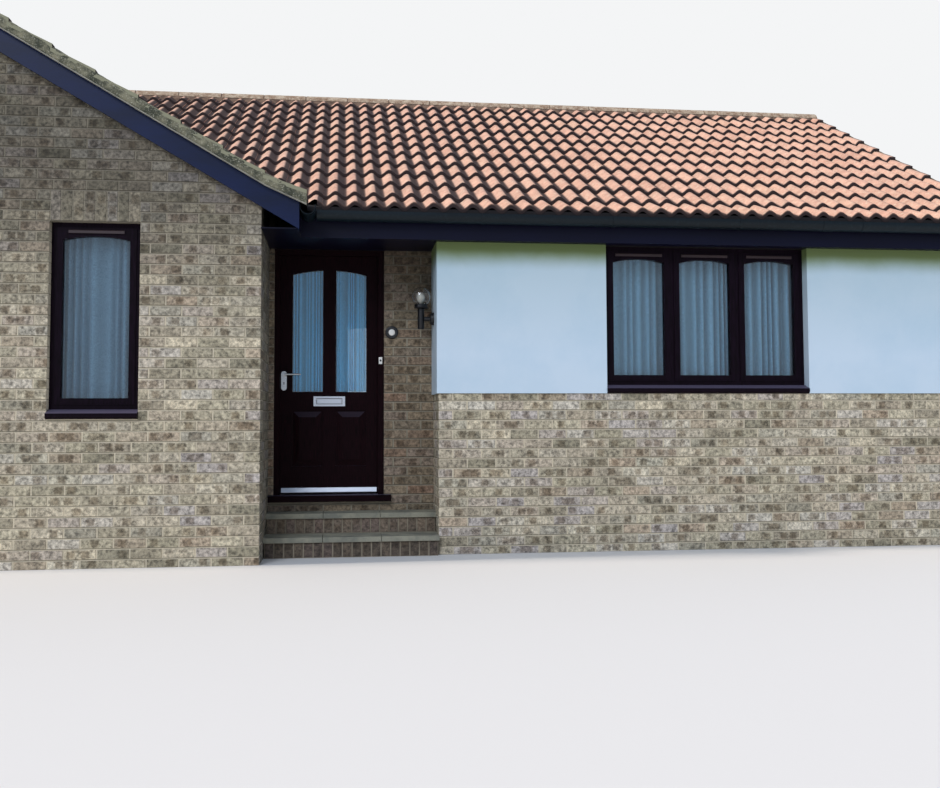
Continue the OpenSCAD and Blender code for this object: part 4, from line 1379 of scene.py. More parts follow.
@dataclass
class Tiler:
    """Lays pantiles, each with two rolls, in metres.

    Attributes:
        pitch: the distance between rolls.
        roll_h: the height of a roll.
        nose: how far a tile's front edge stands out over the course below.
        edge_in: how far the first roll is in from the slope's end.
        thick: how thick a front edge is.
        eaves_thick: how thick it is in the bottom course.
        eaves_clean: how much less of the painted shade that edge takes than the others.
        front_up: how far the front is lifted by the course below.
        arris: how far the front's upper edge is eased.
        foot_back: how far the front's foot is set back.
        marked_up: the way up the tile that the finish reads at the eased edge's foot and top.
        side_up: the way up that it reads on a side, which is clear of the front's painted shade.
        verge_flat, verge_fall, verge_h: the flat rim at a verge, the fall beside it, its height.
        side_lap: how far a tile laps over its neighbour.
        lap_up, lap_run: how far the lap lifts the tile, and how soon that is gone.
        over_slab: how far the tiling is let into its line.
        head_lap: how far a tile runs under the next course.
        side_h: the height of a side that laps.
        shade_turn: how far round a roll its painted-shade side is.
        lifts, tilt: how far a tile is out of line by chance.
        samples: points along the section for each roll.
    """

    pitch: float = 0.150
    roll_h: float = 0.044
    nose: float = 0.005
    edge_in: float = 0.030
    thick: float = 0.030
    eaves_thick: float = 0.036
    eaves_clean: float = 0.012
    front_up: float = 0.011
    arris: float = 0.004
    foot_back: float = 0.002
    marked_up: Plan = (0.001, 0.006)
    side_up: float = 0.1
    verge_flat: float = 0.055
    verge_fall: float = 0.045
    verge_h: float = 0.043
    side_lap: float = 0.050
    lap_up: float = 0.006
    lap_run: float = 0.03
    over_slab: float = 0.002
    head_lap: float = 0.012
    side_h: float = 0.008
    shade_turn: float = 2.1
    lifts: Plan = (-0.0012, 0.0014)
    tilt: float = 0.001
    samples: int = 8
    roofline: Roofline = field(default_factory=Roofline)

    def profile(self, s: float, slope: Slope, pitch: float) -> float:
        """Gives the height of the tile over its pan.

        Args:
            s: the distance along the tile edge.
            slope: the slope.
            pitch: the distance between rolls.

        Returns:
            The height in metres.
        """
        turn = 2 * math.pi * (s - self.edge_in) / pitch
        high = self.roll_h * (0.5 + 0.5 * math.cos(turn))
        for is_verge, from_edge in zip(slope.verges(), (s, slope.width - s)):
            if is_verge and from_edge < self.verge_flat + self.verge_fall:
                fall = max(0.0, from_edge - self.verge_flat) / self.verge_fall
                high = max(high, self.verge_h * (0.5 + 0.5 * math.cos(math.pi * fall)))
        return high

    def shaded_side(self, s: float, pitch: float) -> float:
        """Tells how far a place is round to the painted-shade side of its roll, 0 to 1."""
        turn = 2 * math.pi * (s - self.edge_in) / pitch + self.shade_turn
        return 0.5 + 0.5 * math.cos(turn)

    def keep(self, draft: Draft, corners: list[Corner], cut: Cut | None) -> None:
        """Cuts a face at a valley and adds what is left.

        Args:
            draft: the piece it belongs to.
            corners: its corners, each with its mark.
            cut: the valley, if one cuts the slope.
        """
        kept = [] if cut else corners
        for i, (point, mark) in enumerate(corners if cut else ()):
            after, after_mark = corners[(i + 1) % len(corners)]
            here, there = beyond(cut, point), beyond(cut, after)
            if here >= 0:
                kept.append((point, mark))
            if (here >= 0) != (there >= 0):
                t = here / (here - there)
                kept.append((
                    tuple(a + t * (b - a) for a, b in zip(point, after)),
                    tuple(a + t * (b - a) for a, b in zip(mark, after_mark)),
                ))
        if len(kept) > 2:
            draft.add(kept, [tuple(range(len(kept)))])

    def tile(
        self, draft: Draft, slope: Slope, section: list[Point], course: int, front: float,
        back: float, ends: tuple[bool, bool],
    ) -> None:
        """Lays one tile.

        Args:
            draft: the piece it belongs to.
            slope: the slope.
            section: distances along the tile edge, each with the height over the pan and how
            far it is round to the painted-shade side.
            course: the course, 0 at the bottom.
            front: the distance in of its front edge.
            back: the distance in of the next course's front edge.
            ends: whether its first and last sides are verge edges.
        """
        seed = random.random()
        lift = random.uniform(*self.lifts)
        tilt = random.uniform(-self.tilt, self.tilt)
        line = self.roofline
        low = line.height(front, slope.run) - self.over_slab + self.front_up + lift
        high = line.height(back, slope.run) - self.over_slab - line.step
        fall = (high - low) / (back - front)
        # The bottom course's front edge takes less of the painted shade
        thick, clean = (self.thick, 0.0) if course else (self.eaves_thick, self.eaves_clean)
        nose = front - self.nose
        # For each row, how far in it is, its height, and the way up the tile for the finish
        rows = (
            (nose + self.foot_back, low - thick, 0.0),
            (nose, low - self.arris, self.marked_up[0] + clean),
            (nose + self.arris, low, self.marked_up[1] + clean),
            (back + self.head_lap, high + fall * self.head_lap, back - front + clean),
        )
        grid = []
        for inward, z, way_up in rows:
            row = []
            for i, (s, h, shaded_side) in enumerate(section):
                near = 0.0 if ends[0] else max(0.0, 1.0 - (s - section[0][0]) / self.lap_run)
                up = z + h + self.lap_up * near + tilt * i / len(section)
                row.append((slope.at(s, inward, up), (shaded_side, way_up, seed)))
            grid.append(row)
        turned = slope.turn() < 0
        cut = slope.cut(course)
        faces = []
        if not cut or all(beyond(cut, point) >= 0 for row in grid for point, _ in row):
            draft.grid([row[::-1] for row in grid] if turned else grid)
        else:
            for lower, upper in zip(grid, grid[1:]):
                for i in range(len(section) - 1):
                    faces.append([lower[i], lower[i + 1], upper[i + 1], upper[i]])
        # The side that laps over its neighbour, and the one that stands bare at a verge
        for side in (0, -1):
            if side and not ends[side]:
                continue
            depth, shaded_side = (self.thick, -1.0) if ends[side] else (self.side_h, 0.0)
            (fore, _), (rear, _) = grid[2][side], grid[3][side]
            face = [
                ((x, y, z - down), (shaded_side, self.side_up, seed))
                for (x, y, z), down in ((fore, 0.0), (rear, 0.0), (rear, depth), (fore, depth))
            ]
            faces.append(face[::-1] if side else face)
        for face in faces:
            self.keep(draft, face[::-1] if turned else face, cut)

    def lay(self, slope: Slope) -> None:
        """Lays every tile of a slope.

        Args:
            slope: the slope.
        """
        draft = Draft(slope.name)
        pitch = self.pitch
        if slope.verges()[1]:
            inner = slope.width - 2 * self.edge_in
            pitch = inner / round(inner / self.pitch)
        first = self.edge_in + 2 * pitch - self.side_lap
        joints = [0.0]
        while first + 2 * pitch * (len(joints) - 1) < slope.width - 0.5 * pitch:
            joints.append(first + 2 * pitch * (len(joints) - 1))
        joints.append(slope.width)
        fronts = self.roofline.fronts(slope.run)
        for course, (front, back) in enumerate(zip(fronts, fronts[1:])):
            cut = slope.cut(course)
            for i, (left, right) in enumerate(zip(joints, joints[1:])):
                corners = [slope.at(s, d, 0.0) for s in (left, right) for d in (front, back)]
                if cut and max(beyond(cut, corner) for corner in corners) < 0:
                    continue
                count = max(2, round((right - left) / pitch * self.samples))
                stops = [left + (right - left) * j / count for j in range(count + 1)]
                section = [(s, self.profile(s, slope, pitch), self.shaded_side(s, pitch)) for s in stops]
                ends = (i == 0, slope.verges()[1] and i == len(joints) - 2)
                self.tile(draft, slope, section, course, front, back, ends)
        draft.piece(PANTILE, "roof_tile", soft_deg=40)


@dataclass
class Roof:
    """The tiled slopes, ridges and valleys, in metres.

    Attributes:
        cap_radius, cap_rise, cap_from: a ridge tile's radius, its top over the ridge line, and
            the angle in degrees that it starts from.
        cap_long, cap_joint, cap_thick, cap_sides: its length, joint, thickness and sides.
        cap_less: how far one may be smaller by chance.
        bed: the bedding's section, as distance from the ridge and height over the tiling.
        bed_in, bed_back: how far it stands back inside the ridge tiles, and under their edges.
        bed_rough, bed_step: how far its face wanders, and the length of its cells.
        bed_lumps: the size of its lumps, and how many a metre has along it and up it.
        past_wing: how far from the wing's ridge line the main ridge's tiles start.
        valley_half: half the gap between the tiles in a valley.
        trough: a valley's section, as distance from its middle and height over the tiling.
        trough_half: half the width of the trough's bare part.
        trough_lumps: the size of its mortar's lumps, and how many a metre has along it and
            across it.
        cell: the length of a cell of mortar along a verge or a valley.
        verge_z: the heights of the verge mortar's section, off the tiling.
        verge_out: how far it stands out at its edges, between them and by its lumps.
        verge_up: how far the lumps lift it.
        verge_lumps: how many a metre has along it, up it, and of the half-sized ones.
        verge_drop, board: how far the thin board is down, and its thickness.
        board_wave: how far it waves, and how many waves a metre has.
        board_in, board_out: how far in its lower and upper faces start, and where they end.
        inset: how far in from the tile edges a valley starts.
    """

    main_right: float = 6.115
    wing_front: float = -0.940
    wing_rear: float = 6.870
    eaves_front: float = -0.619
    eaves_rear: float = 6.549
    ridge_y: float = 2.965
    ridge_x: float = -3.05
    wing_right: float = 0.329
    wing_left: float = -6.429
    cap_radius: float = 0.126
    cap_rise: float = 0.053
    cap_from: float = 23.0
    cap_long: float = 0.450
    cap_joint: float = 0.012
    cap_thick: float = 0.013
    cap_sides: int = 16
    cap_less: float = 0.0015
    bed: tuple[Plan, ...] = ((0.100, 0.046), (0.110, 0.040), (0.118, 0.022), (0.124, -0.012))
    bed_in: float = 0.006
    bed_back: float = 0.008
    bed_rough: float = 0.0012
    bed_step: float = 0.05
    bed_lumps: Point = (0.005, 18, 60)
    past_wing: float = 0.05
    valley_half: float = 0.045
    trough: tuple[Plan, ...] = (
        (-0.060, 0.034), (-0.047, 0.024), (-0.036, 0.0), (0.0, 0.002), (0.036, 0.0),
        (0.047, 0.024), (0.060, 0.034),
    )
    trough_half: float = 0.04
    trough_lumps: Point = (0.006, 18, 40)
    cell: float = 0.024
    verge_z: tuple[float, ...] = (-0.050, -0.036, -0.016, 0.006, 0.024, 0.036)
    verge_out: Point = (-0.002, 0.005, 0.008)
    verge_up: float = 0.004
    verge_lumps: Point = (16, 22, 45)
    verge_drop: float = 0.050
    board: float = 0.005
    board_wave: Plan = (0.0012, 3)
    board_in: Plan = (-0.024, -0.030)
    board_out: float = 0.011
    inset: float = 0.060
    roofline: Roofline = field(default_factory=Roofline)

    def slopes(self) -> list[Slope]:
        """Gives the five slopes, the ones that meet at a valley cut back from its middle.

        Returns:
            The slopes, in the order in which they are laid.
        """
        knee_x, knee_y = self.inner(self.roofline.kick_run)
        half = math.sqrt(0.5)
        reach = (self.ridge_x - knee_x, self.ridge_y - knee_y)
        long = math.hypot(*reach)
        outs = ((half, half), (reach[1] / long, -reach[0] / long))
        cuts = {}
        for side in (1, -1):
            front, rear = [], []
            for out_x, out_y in outs:
                px = knee_x + side * out_x * self.valley_half
                py = knee_y + side * out_y * self.valley_half
                nx, ny = side * out_x, side * out_y
                front.append(((px, py), (nx, ny)))
                rear.append(((px, 2 * self.ridge_y - py), (nx, -ny)))
            cuts[side] = (tuple(front), tuple(rear))
        main_w = self.main_right - self.ridge_x
        main_run, wing_run = self.roofline.runs
        half_d = self.ridge_y - self.wing_front
        wing_d = self.wing_rear - self.wing_front
        rows = (
            ("main_front", (self.main_right, self.eaves_front), LEFT, REAR, main_w, main_run,
             cuts[1][0]),
            ("main_rear", (self.main_right, self.eaves_rear), LEFT, FRONT, main_w, main_run,
             cuts[1][1]),
            ("wing_right_front", (self.wing_right, self.wing_front), REAR, LEFT, half_d,
             wing_run, cuts[-1][0]),
            ("wing_right_rear", (self.wing_right, self.wing_rear), FRONT, LEFT, half_d, wing_run,
             cuts[-1][1]),
            ("wing_left", (self.wing_left, self.wing_front), REAR, RIGHT, wing_d, wing_run,
             None),
        )
        return [
            Slope(start, along, up, f"{name}_tiles", width, run, cut)
            for name, start, along, up, width, run, cut in rows
        ]

    def inner(self, inset: float) -> Plan:
        """Gives the plan point at a front valley that is so far in from both tile edges."""
        return self.wing_right - inset, self.eaves_front + inset

    def over(self, axis: int, reach: float, out: float, z: float) -> Point:
        """Gives the point reach along a ridge, 0 main or 1 wing, and out to its side."""
        return (reach, self.ridge_y + out, z) if axis == 0 else (self.ridge_x + out, reach, z)

    def arc(self, axis: int, reach: float, radii: list[float]) -> list[Point]:
        """Gives a half-round row of points over a ridge.

        Args:
            axis: 0 for the main ridge and 1 for the wing's.
            reach: where it is along the ridge.
            radii: the radius at each point.

        Returns:
            The points.
        """
        centre_z = self.roofline.ridge + self.cap_rise - self.cap_radius
        row = []
        for side, r in enumerate(radii):
            angle = math.radians(self.cap_from + (180 - 2 * self.cap_from) * side / self.cap_sides)
            across = r * math.cos(angle)
            z = centre_z + r * math.sin(angle)
            row.append(self.over(axis, reach, across if axis else -across, z))
        return row

    def ring(
        self, draft: Draft, axis: int, start: float, end: float, radius: float, seed: float,
        rough: float = 0.0, steps: int = 1,
    ) -> None:
        """Adds a half-round length of ridge, with both its ends closed.

        Args:
            draft: the piece to add to.
            axis: 0 for the main ridge and 1 for the wing's.
            start: where it starts along the ridge.
            end: where it ends.
            radius: its outer radius.
            seed: its number from 0 to 1.
            rough: how far its face wanders; a smooth one is a tile, with its ends' thickness.
            steps: how many rings it has along its length.
        """
        around = range(self.cap_sides + 1)
        rows = [
            self.arc(
                axis, start + (end - start) * step / steps,
                [radius + random.uniform(-rough, rough) for _ in around],
            )
            for step in range(steps + 1)
        ]
        draft.plain(rows if axis else [row[::-1] for row in rows], seed)
        inner = 0.0 if rough else radius - self.cap_thick
        for reach, turn in ((start, 1), (end, -1)):
            rows = [self.arc(axis, reach, [r for _ in around]) for r in (radius, inner)]
            draft.plain(rows[::-1] if (turn > 0) == (axis == 0) else rows, seed)

    def ridge(self, axis: int, start: float, end: float, name: str) -> bpy.types.Object:
        """Lays the half-round tiles of one ridge over their mortar.

        Args:
            axis: 0 for the main ridge and 1 for the wing's.
            start: where it starts along the ridge.
            end: where it ends.
            name: the ridge's name.

        Returns:
            The tiles.
        """
        caps, mortar = Draft(f"{name}_ridge_caps"), Draft(f"{name}_ridge_mortar")
        count = max(1, round((end - start) / self.cap_long))
        step = (end - start) / count
        for i in range(count):
            first = start + i * step + (self.cap_joint / 2 if i else 0.0)
            last = start + (i + 1) * step - (self.cap_joint / 2 if i < count - 1 else 0.0)
            seed = random.random()
            size = self.cap_radius - random.uniform(0.0, self.cap_less)
            self.ring(caps, axis, first, last, size, seed)
        self.ring(
            mortar, axis, start + self.bed_in, end - self.bed_in, self.cap_radius - self.bed_in,
            0.5, self.bed_rough, steps=int((end - start) / self.bed_step),
        )
        for side in (1, -1):
            self.bedding(mortar, axis, start + self.bed_back, end - self.bed_back, side)
        tiles = caps.piece(RIDGE_TILE, "ridge_tile", soft_deg=30)
        mortar.piece(RIDGE_MORTAR, "mortar", soft_deg=50)
        return tiles

    def bedding(self, draft: Draft, axis: int, start: float, end: float, side: int) -> None:
        """Fills the pans under one edge of the ridge tiles.

        Args:
            draft: the piece to add to.
            axis: 0 for the main ridge and 1 for the wing's.
            start: where it starts along the ridge.
            end: where it ends.
            side: 1 or -1, the side of the ridge.
        """
        count = round((end - start) / self.cell)
        run = self.roofline.runs[axis]
        size, along, up = self.bed_lumps
        rows = []
        for across, over in self.bed:
            row = []
            for i in range(count + 1):
                reach = start + (end - start) * i / count
                bump = lump(size, reach * along, across * up, 3.0 + side + axis)
                z = self.roofline.height(run - across, run) + over + bump
                row.append(self.over(axis, reach, side * (across + bump), z))
            rows.append(row)
        draft.plain(rows[::-1] if (side > 0) == (axis == 0) else rows)

    def verge(self, name: str, line: Line, run: float) -> None:
        """Points one gable's verge with lumpy mortar, over a thin board.

        Args:
            name: the gable's name.
            line: the verge's face, from the plan point under the ridge.
            run: the distance from the tile edge to the ridge.
        """
        mortar, board = Draft(f"{name}_verge_mortar"), Draft(f"{name}_undercloak")
        count = round(2 * run / self.cell)
        x, y = line.start
        along, up, small = self.verge_lumps
        edge_out, out, lump_out = self.verge_out
        wave, waves = self.board_wave
        low_in, high_in = self.board_in
        lumpy, thin = [], []
        for i in range(count + 1):
            s = -run + 2 * run * i / count
            tiling = self.roofline.height(run - abs(s), run)
            column = []
            for z in self.verge_z:
                bump = lump(1.0, s * along, z * up, x) + lump(0.5, s * small, z * small, y)
                edge = z in (self.verge_z[0], self.verge_z[-1])
                reach = edge_out if edge else out + lump_out * bump
                column.append(line.at(s, reach, tiling + (z + self.verge_up * bump)))
            lumpy.append(column)
            low = -self.verge_drop + lump(wave, s * waves, x, 0.0)
            foot = low - self.board
            section = (
                (low_in, foot), (self.board_out, foot), (self.board_out, low), (high_in, low)
            )
            thin.append([line.at(s, reach, tiling + z) for reach, z in section])
        for draft, rows in ((mortar, lumpy), (board, thin)):
            draft.plain(rows[::-1] if line.turn() > 0 else rows)
        mortar.piece(VERGE_MORTAR, "mortar", soft_deg=60)
        board.piece(UNDERCLOAK, "mortar", soft_deg=20)

    def valley(self, name: str, mirrored: bool) -> None:
        """Lines one valley with a trough and beds the cut tiles at its sides.

        Args:
            name: the valley's name.
            mirrored: whether it is the rear one.
        """
        foot, knee, head = map(Vector, (
            self.inner(self.inset), self.inner(self.roofline.kick_run),
            (self.ridge_x, self.ridge_y),
        ))
        trough, mortar = Draft(f"{name}_valley_trough"), Draft(f"{name}_valley_mortar")
        size, along, across = self.trough_lumps
        main_run, wing_run = self.roofline.runs
        for start, end in ((foot, knee), (knee, head)):
            way = (end - start).normalized()
            side = Vector((way.y, -way.x))
            count = max(2, round((end - start).length / self.cell))
            lines = []
            for offset, lift in self.trough:
                line = []
                for i in range(count + 1):
                    spot = start + (end - start) * i / count + side * offset
                    inward, run = self.wing_right - spot.x, wing_run
                    if offset > 0:
                        inward, run = spot.y - self.eaves_front, main_run
                    bump = lump(size, spot.x * along, spot.y * along, offset * across)
                    z = self.roofline.height(min(inward, run), run) + lift
                    y = 2 * self.ridge_y - spot.y if mirrored else spot.y
                    line.append((spot.x, y, z + (bump if abs(offset) > self.trough_half else 0)))
                lines.append(line)
            for draft, rows in ((mortar, lines[:3]), (trough, lines[2:5]), (mortar, lines[4:])):
                draft.plain(rows if mirrored else rows[::-1])
        trough.piece(TROUGH, "roof_tile", soft_deg=20)
        mortar.piece(VERGE_MORTAR, "mortar", soft_deg=60)

    def build(self) -> None:
        """Tiles the slopes, points the verges, lines the valleys and caps the ridges."""
        tiler = Tiler()
        for slope in self.slopes():
            tiler.lay(slope)
        main_run, wing_run = self.roofline.runs
        for name, point, along, out, run in (
            ("wing_front", (self.ridge_x, self.wing_front + self.board), RIGHT, FRONT, wing_run),
            ("wing_rear", (self.ridge_x, self.wing_rear - self.board), RIGHT, REAR, wing_run),
            ("main", (self.main_right - self.board, self.ridge_y), REAR, RIGHT, main_run),
        ):
            self.verge(name, Line(point, along, out), run)
        self.valley("front", False)
        self.valley("rear", True)
        wing_caps = self.ridge(1, self.wing_front, self.wing_rear, "wing")
        self.ridge(0, self.ridge_x + self.past_wing, self.main_right, "main")
        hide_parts("ridge_tiles")


# Openings and porch


@dataclass(frozen=True)
class NetPlan:
    """One net and where it hangs, in metres.

    Attributes:
        name: the piece's name.
        left: its left edge.
        right: its right edge.
        y: the plane it hangs in.
        foot: its hem.
        head: its top, where it is highest.
        held: the CAD node it hangs from; it is not used.
        body: the CAD body it moves with.
        fold: the distance between folds.
        deep: how deep the folds are.
        arch: the middle, half width and rise of its top's arch; a level top rises 0.
        finish: the net it is cut from.
        shade: how much darker its folds are where they hang back.
    """

    name: str
    left: float
    right: float
    y: float
    foot: float
    head: float
    held: str
    body: str = HOUSE
    fold: float = 0.070
    deep: float = 0.027
    arch: Point = (0.0, 1.0, 0.0)
    finish: Finish = NET
    shade: float = 0.4

    def top(self, x: float) -> float:
        """Gives the height of the top edge at a place across the net."""
        middle, half, rise = self.arch
        return self.head - rise * ((x - middle) / half) ** 2


@dataclass
class Curtains:
    """Net curtains hung in gathers behind the front windows and in the door's lights.

    Attributes:
        nets: the nets.
        levels: how many rows each has from head to hem.
        points: how many points each fold has.
        drift: how many folds a fold may be out of place, and how soon that changes.
        swell: a fold's depth, how far it varies, and how soon that changes.
        spread: what is left of the depth at the head, and what is added to it by the hem.
    """

    nets: tuple[NetPlan, ...] = (
        NetPlan(
            "left_net", -5.242, -4.626, -0.662, 1.125, 2.456, "wing_front_wall", shade=0.2
        ),
        NetPlan(
            "right_net", -1.474, -0.858, -0.662, 1.125, 2.456, "wing_front_wall", shade=0.2
        ),
        NetPlan(
            "wide_net", 2.681, 4.355, -0.250, 1.319, 2.425, "front_wall_head", finish=PALE_NET
        ),
        *(
            NetPlan(
                name, left, left + 0.243, 0.111, 1.273, 2.269, "front_door", "front_door",
                0.030, 0.005, (0.4875, 0.300, 0.040), DOOR_NET_PAINTED_REFLECTION,
            )
            for name, left in (("door_left_net", 0.1895), ("door_right_net", 0.5425))
        ),
    )
    levels: int = 9
    points: int = 10
    drift: Plan = (1.3, 0.45)
    swell: Point = (0.75, 0.8, 0.35)
    spread: Plan = (0.55, 0.35)

    def hang(self, plan: NetPlan) -> bpy.types.Object:
        """Hangs one net.

        Args:
            plan: its sizes and place.

        Returns:
            The net.
        """
        wide = plan.right - plan.left
        count = int(wide / plan.fold * self.points)
        phase = random.uniform(0, 6)
        waves = []
        for i in range(count + 1):
            turns = wide / plan.fold * i / count
            drift = lump(self.drift[0], self.drift[1] * turns, phase, 0.0)
            swell = self.swell[0] + lump(self.swell[1], self.swell[2] * turns, phase, 9.0)
            waves.append(swell * math.sin(phase + 2 * math.pi * (turns + drift)))
        rows = []
        for level in range(self.levels + 1):
            share = level / self.levels
            depth = plan.deep * (self.spread[0] + self.spread[1] * share)
            row = []
            for i, wave in enumerate(waves):
                x = plan.left + wide * i / count
                top = plan.top(x)
                point = (x, plan.y + depth * wave, top + (plan.foot - top) * share)
                # The mark's X carries the painted shade of the folds
                row.append((point, (0.5 - plan.shade * wave, 0.0, 0.5)))
            rows.append(row)
        draft = Draft(plan.name)
        draft.grid(rows[::-1])
        middle = [point for point, _ in rows[self.levels // 2]]
        width = sum(math.dist(a, b) for a, b in zip(middle, middle[1:]))
        made = draft.piece(plan.finish, "net", plan.body, soft_deg=60)
        flat = (width, plan.head - plan.foot)
        log.info("%s: cut %.3f by %.3f m", plan.name, *flat)
        return made

    def build(self) -> None:
        """Hangs every net, the first in place of the CAD solid."""
        made = [self.hang(plan) for plan in self.nets]
        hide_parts("net_curtains")


@dataclass
class Porch:
    """The lamp's bulb and collar, the bell's face and the bell push's button, in metres."""

    bulb: Point = (1.217, -0.200, 2.012)
    stem: Point = (1.217, -0.200, 1.768)
    arm: Point = (1.244, -0.200, 1.848)
    bell: Point = (0.993, -0.0155, 1.754)
    button: Point = (0.902, 0.0075, 1.525)

    def build(self) -> None:
        """Turns each fitting, with the bulb inside the clear globe."""
        ring = [
            (0.026, 0.003), (0.029, -0.004), (0.038, -0.0065), (0.048, -0.004), (0.053, 0.004),
            (0.053, 0.0145),
        ]
        collar = [
            (0.0, -0.002), (0.024, -0.002), (0.027, 0.004), (0.027, 0.158), (0.034, 0.163),
            (0.052, 0.165), (0.057, 0.169), (0.057, 0.176), (0.052, 0.180), (0.044, 0.183),
        ]
        arm = [(0.017, 0.0), (0.017, 0.048)]
        rose = [(0.0, 0.046), (0.040, 0.046), (0.047, 0.052), (0.049, 0.076)]
        face = [(0.0, -0.0045), (0.019, -0.004), (0.026, -0.001), (0.0275, 0.004)]
        button = [(0.0, -0.0035), (0.005, -0.0033), (0.0072, -0.002), (0.0078, 0.001)]
        bulb = [
            (0.0, 0.040), (0.010, 0.039), (0.021, 0.034), (0.029, 0.023), (0.033, 0.008),
            (0.032, -0.006), (0.027, -0.020), (0.020, -0.031), (0.016, -0.040), (0.016, -0.062),
            (0.0, -0.062),
        ]
        for name, finish, slot, soft_deg, turned in (
            ("bell_ring", IRON, "black_iron", 40, [(self.bell, 1, ring)]),
            ("lamp_collar", IRON, "black_iron", 40,
             [(self.stem, 2, collar), (self.arm, 0, arm, 20), (self.arm, 0, rose)]),
            ("bell_face", WHITE_PLASTIC, "white_plastic", 60, [(self.bell, 1, face)]),
            ("bell_button", BUTTON, "white_plastic", 60, [(self.button, 1, button)]),
            ("lamp_bulb", OPAL, "white_plastic", 60, [(self.bulb, 2, bulb)]),
        ):
            draft = Draft(name)
            for shape in turned:
                draft.lathe(*shape)
            draft.piece(finish, slot, soft_deg=soft_deg)


# CAD nodes


@dataclass
class Dressing:
    """The finish of every CAD node that stays in view.

    Attributes:
        finishes: each finish with the nodes it goes on.
        rounded: how far the sharp arrises of a node are eased, in metres.
        broad: an arris over this is eased with one more step.
        sharp_deg: the angle over which an arris is eased.
    """

    finishes: tuple[tuple[Finish, tuple[str, ...]], ...] = (
        *(
            (wall_finish(name, outward), (f"{name}_wall",))
            for name, outward in (
                ("wing_front", FRONT), ("wing_rear", REAR), ("wing_left", LEFT),
                ("right_gable", RIGHT), ("rear", REAR),
            )
        ),
        # The return's mortar is darkened with painted shade, like its bricks
        (wall_finish("wing_return", RIGHT, clean=0.44, sooted=0.15), ("wing_return_wall",)),
        (wall_finish("plinth", FRONT), ("front_plinth_wall",)),
        (SHADED_PORCH_WALL, ("porch_wall", "porch_wall_base")),
        (HEAD_BOARD, ("porch_wall_head", "front_wall_head")),
        (RENDER, ("front_render_left", "front_render_right")),
        (CONCRETE, ("floor_slab",)),
        (PLASTER, ("ceiling",)),
        (FELT, (
            "main_roof_front", "main_roof_rear", "wing_roof_left", "wing_roof_right_front",
            "wing_roof_right_rear",
        )),
        (VERGE_MORTAR, ("verge_bedding",)),
        (FASCIA_PAINT, (
            "front_fascia", "front_soffit", "rear_eaves_boards", "wing_eaves_boards",
        )),
        (GLOSS_PAINT, ("wing_bargeboards", "gable_bargeboards")),
        (GUTTER, ("main_gutters", "wing_gutters")),
        (JOINERY, ("door_frame", "front_door")),
        (JOINERY_LEVEL, ("door_cill",)),
        (WINDOW_JOINERY, ("wide_window_frames", "narrow_window_frames")),
        (DOOR_GLASS, ("door_glass",)),
        (WINDOW_GLASS, ("wide_window_glass", "narrow_window_glass")),
        (LAMP_GLASS, ("lamp_globe",)),
        (BRASS, ("door_hinges", "frame_hinges")),
        (ALUMINIUM, ("weather_bar", "letter_plate", "letter_flap")),
        (STEEL, ("door_handle_plate", "door_lever")),
        (WHITE_PLASTIC, ("bell_push",)),
        (IRON, ("round_bell", "porch_lamp")),
        (VENT, ("slot_vents",)),
        (NET, ("net_curtains",)),
        (RIDGE_TILE, ("ridge_tiles",)),
        (SHADED_SLAB, ("step_slabs",)),
        (SHADED_STEP_MORTAR, ("step_brickwork",)),
    )
    rounded: tuple[tuple[float, tuple[str, ...]], ...] = (
        (0.008, ("step_slabs",)),
        (0.006, ("door_cill", "front_render_left", "front_render_right")),
        (0.003, (
            "door_frame", "wide_window_frames", "narrow_window_frames", "wing_bargeboards",
            "gable_bargeboards", "front_fascia",
        )),
        (0.002, ("front_door",)),
    )
    broad: float = 0.004
    sharp_deg: float = 35.0

    def build(self) -> None:
        """Puts each finish in the node's material slots and eases the sharp arrises."""
        finishes = {name: finish for finish, names in self.finishes for name in names}
        rounded = {name: width for width, names in self.rounded for name in names}
        for name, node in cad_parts.items():
            finish = finishes[name]
            node.data.materials.clear()
            node.data.materials.append(finish.material())
            if name in rounded:
                bevel = node.modifiers.new("eased_arris", "BEVEL")
                bevel.width = rounded[name]
                bevel.segments = 3 if rounded[name] > self.broad else 2
                bevel.limit_method = "ANGLE"
                bevel.angle_limit = math.radians(self.sharp_deg)
                bevel.harden_normals = False
            log.info("%s: %s", name, finish.name)


# Studio


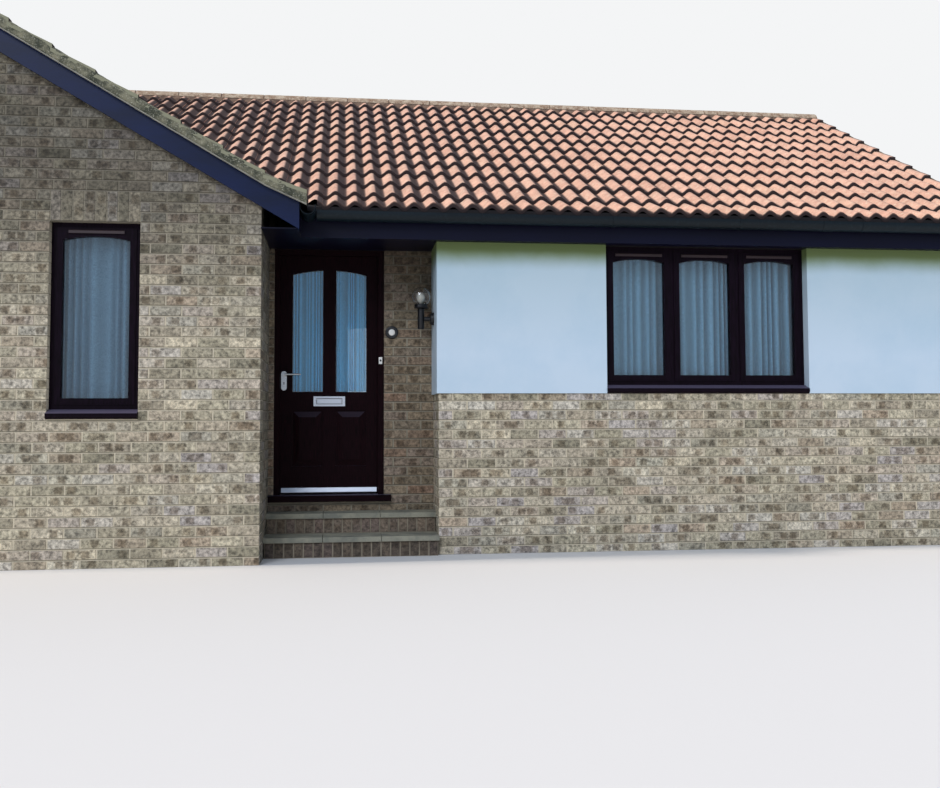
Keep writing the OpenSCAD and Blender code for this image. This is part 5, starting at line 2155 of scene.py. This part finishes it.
@dataclass
class Studio:
    """The floor, the light and the camera.

    Attributes:
        eye: where the camera stands.
        yaw, pitch, roll: how it is turned, in radians.
        lens_mm: its focal length on a sensor 36 mm wide.
        shift: how far the picture is shifted across and up.
        lamps: for each lamp its name, strength, colour, the way from the house to it, and how
            wide it looks from the house, in degrees.
        sky: the strength and colour of the even light from all round.
        shown: for each kind of ray, the colour and strength of what it meets instead.
        floor_half: half the width of the floor.
    """

    eye: Point = (0.76798, -11.33278, 1.02067)
    yaw: float = 0.12411
    pitch: float = 0.05494
    roll: float = -0.00338
    lens_mm: float = 39.18
    shift: Plan = (0.00237, -0.0301)
    lamps: tuple[tuple[str, float, str, Point, float], ...] = (
        ("key", 3.05, "#fff1e2", (-0.83, -0.02, 0.56), 5.0),
        ("front", 1.15, "#eef3ff", (-0.35, -0.75, 0.56), 24.0),
        ("fill", 0.3, "#eef3ff", (0.4, 0.85, 0.35), 60.0),
    )
    sky: tuple[float, str] = (0.62, "#dae5fa")
    shown: tuple[tuple[str, str, float], ...] = (
        ("Is Glossy Ray", "#b9cde8", 0.72),
        ("Is Camera Ray", "#f4f5f6", 1.0),
        ("Is Transmission Ray", "#f4f5f6", 1.0),
    )
    floor_half: float = 60.0

    def camera(self) -> None:
        """Stands the camera where the photograph was taken."""
        pose = Matrix.Translation(self.eye)
        for angle, axis in ((-self.yaw, "Z"), (math.pi / 2 + self.pitch, "X"), (self.roll, "Z")):
            pose = pose @ Matrix.Rotation(angle, 4, axis)
        data = bpy.data.cameras.new("camera")
        data.sensor_width = 36.0
        data.lens = self.lens_mm
        data.shift_x, data.shift_y = self.shift
        data.clip_end = 200.0
        made = put("camera", data)
        made.matrix_world = pose
        bpy.context.scene.camera = made

    def background(self) -> None:
        """Gives the world its even light, a pale look to the camera and a blue one in mirrors."""
        world = bpy.data.worlds.new("studio")
        bpy.context.scene.world = world
        world.use_nodes = True
        world.node_tree.nodes.clear()
        add = partial(add_node, world.node_tree)
        path = add("LightPath").outputs
        strength, colour = self.sky
        mixed = add("Background", {"Color": linear(colour), "Strength": strength})
        for ray, colour, strength in self.shown:
            seen = add("Background", {"Color": linear(colour), "Strength": strength})
            mixed = add("MixShader", {0: path[ray], 1: mixed, 2: seen})
        add("OutputWorld", {"Surface": mixed})

    def floor(self) -> None:
        """Lays the plain pale floor."""
        mesh = bpy.data.meshes.new("studio_floor")
        far = self.floor_half
        mesh.from_pydata(
            [(-far, -far, 0), (far, -far, 0), (far, far, 0), (-far, far, 0)], [], [(0, 1, 2, 3)]
        )
        mesh.materials.append(Finish("studio_floor_matt_paper", "#dcdcda", 0.95).material())
        put("studio_floor", mesh)

    def build(self) -> None:
        """Sets up the whole studio."""
        self.camera()
        self.background()
        self.floor()
        for name, strength, colour, toward, angle_deg in self.lamps:
            data = bpy.data.lights.new(name, "SUN")
            data.energy = strength
            data.color = linear(colour)[:3]
            data.angle = math.radians(angle_deg)
            turn = Vector(toward).to_track_quat("Z", "Y")
            put(name, data).matrix_world = turn.to_matrix().to_4x4()
        bpy.context.scene.view_settings.view_transform = "Standard"


def main() -> None:
    """Builds the house piece by piece, from the studio up to the roof."""
    logging.basicConfig(level=logging.INFO, format="%(name)s: %(message)s")
    random.seed(7)
    Studio().build()
    Dressing().build()
    Walls().build()
    Roof().build()
    Curtains().build()
    Porch().build()


if __name__ == "__main__":
    main()
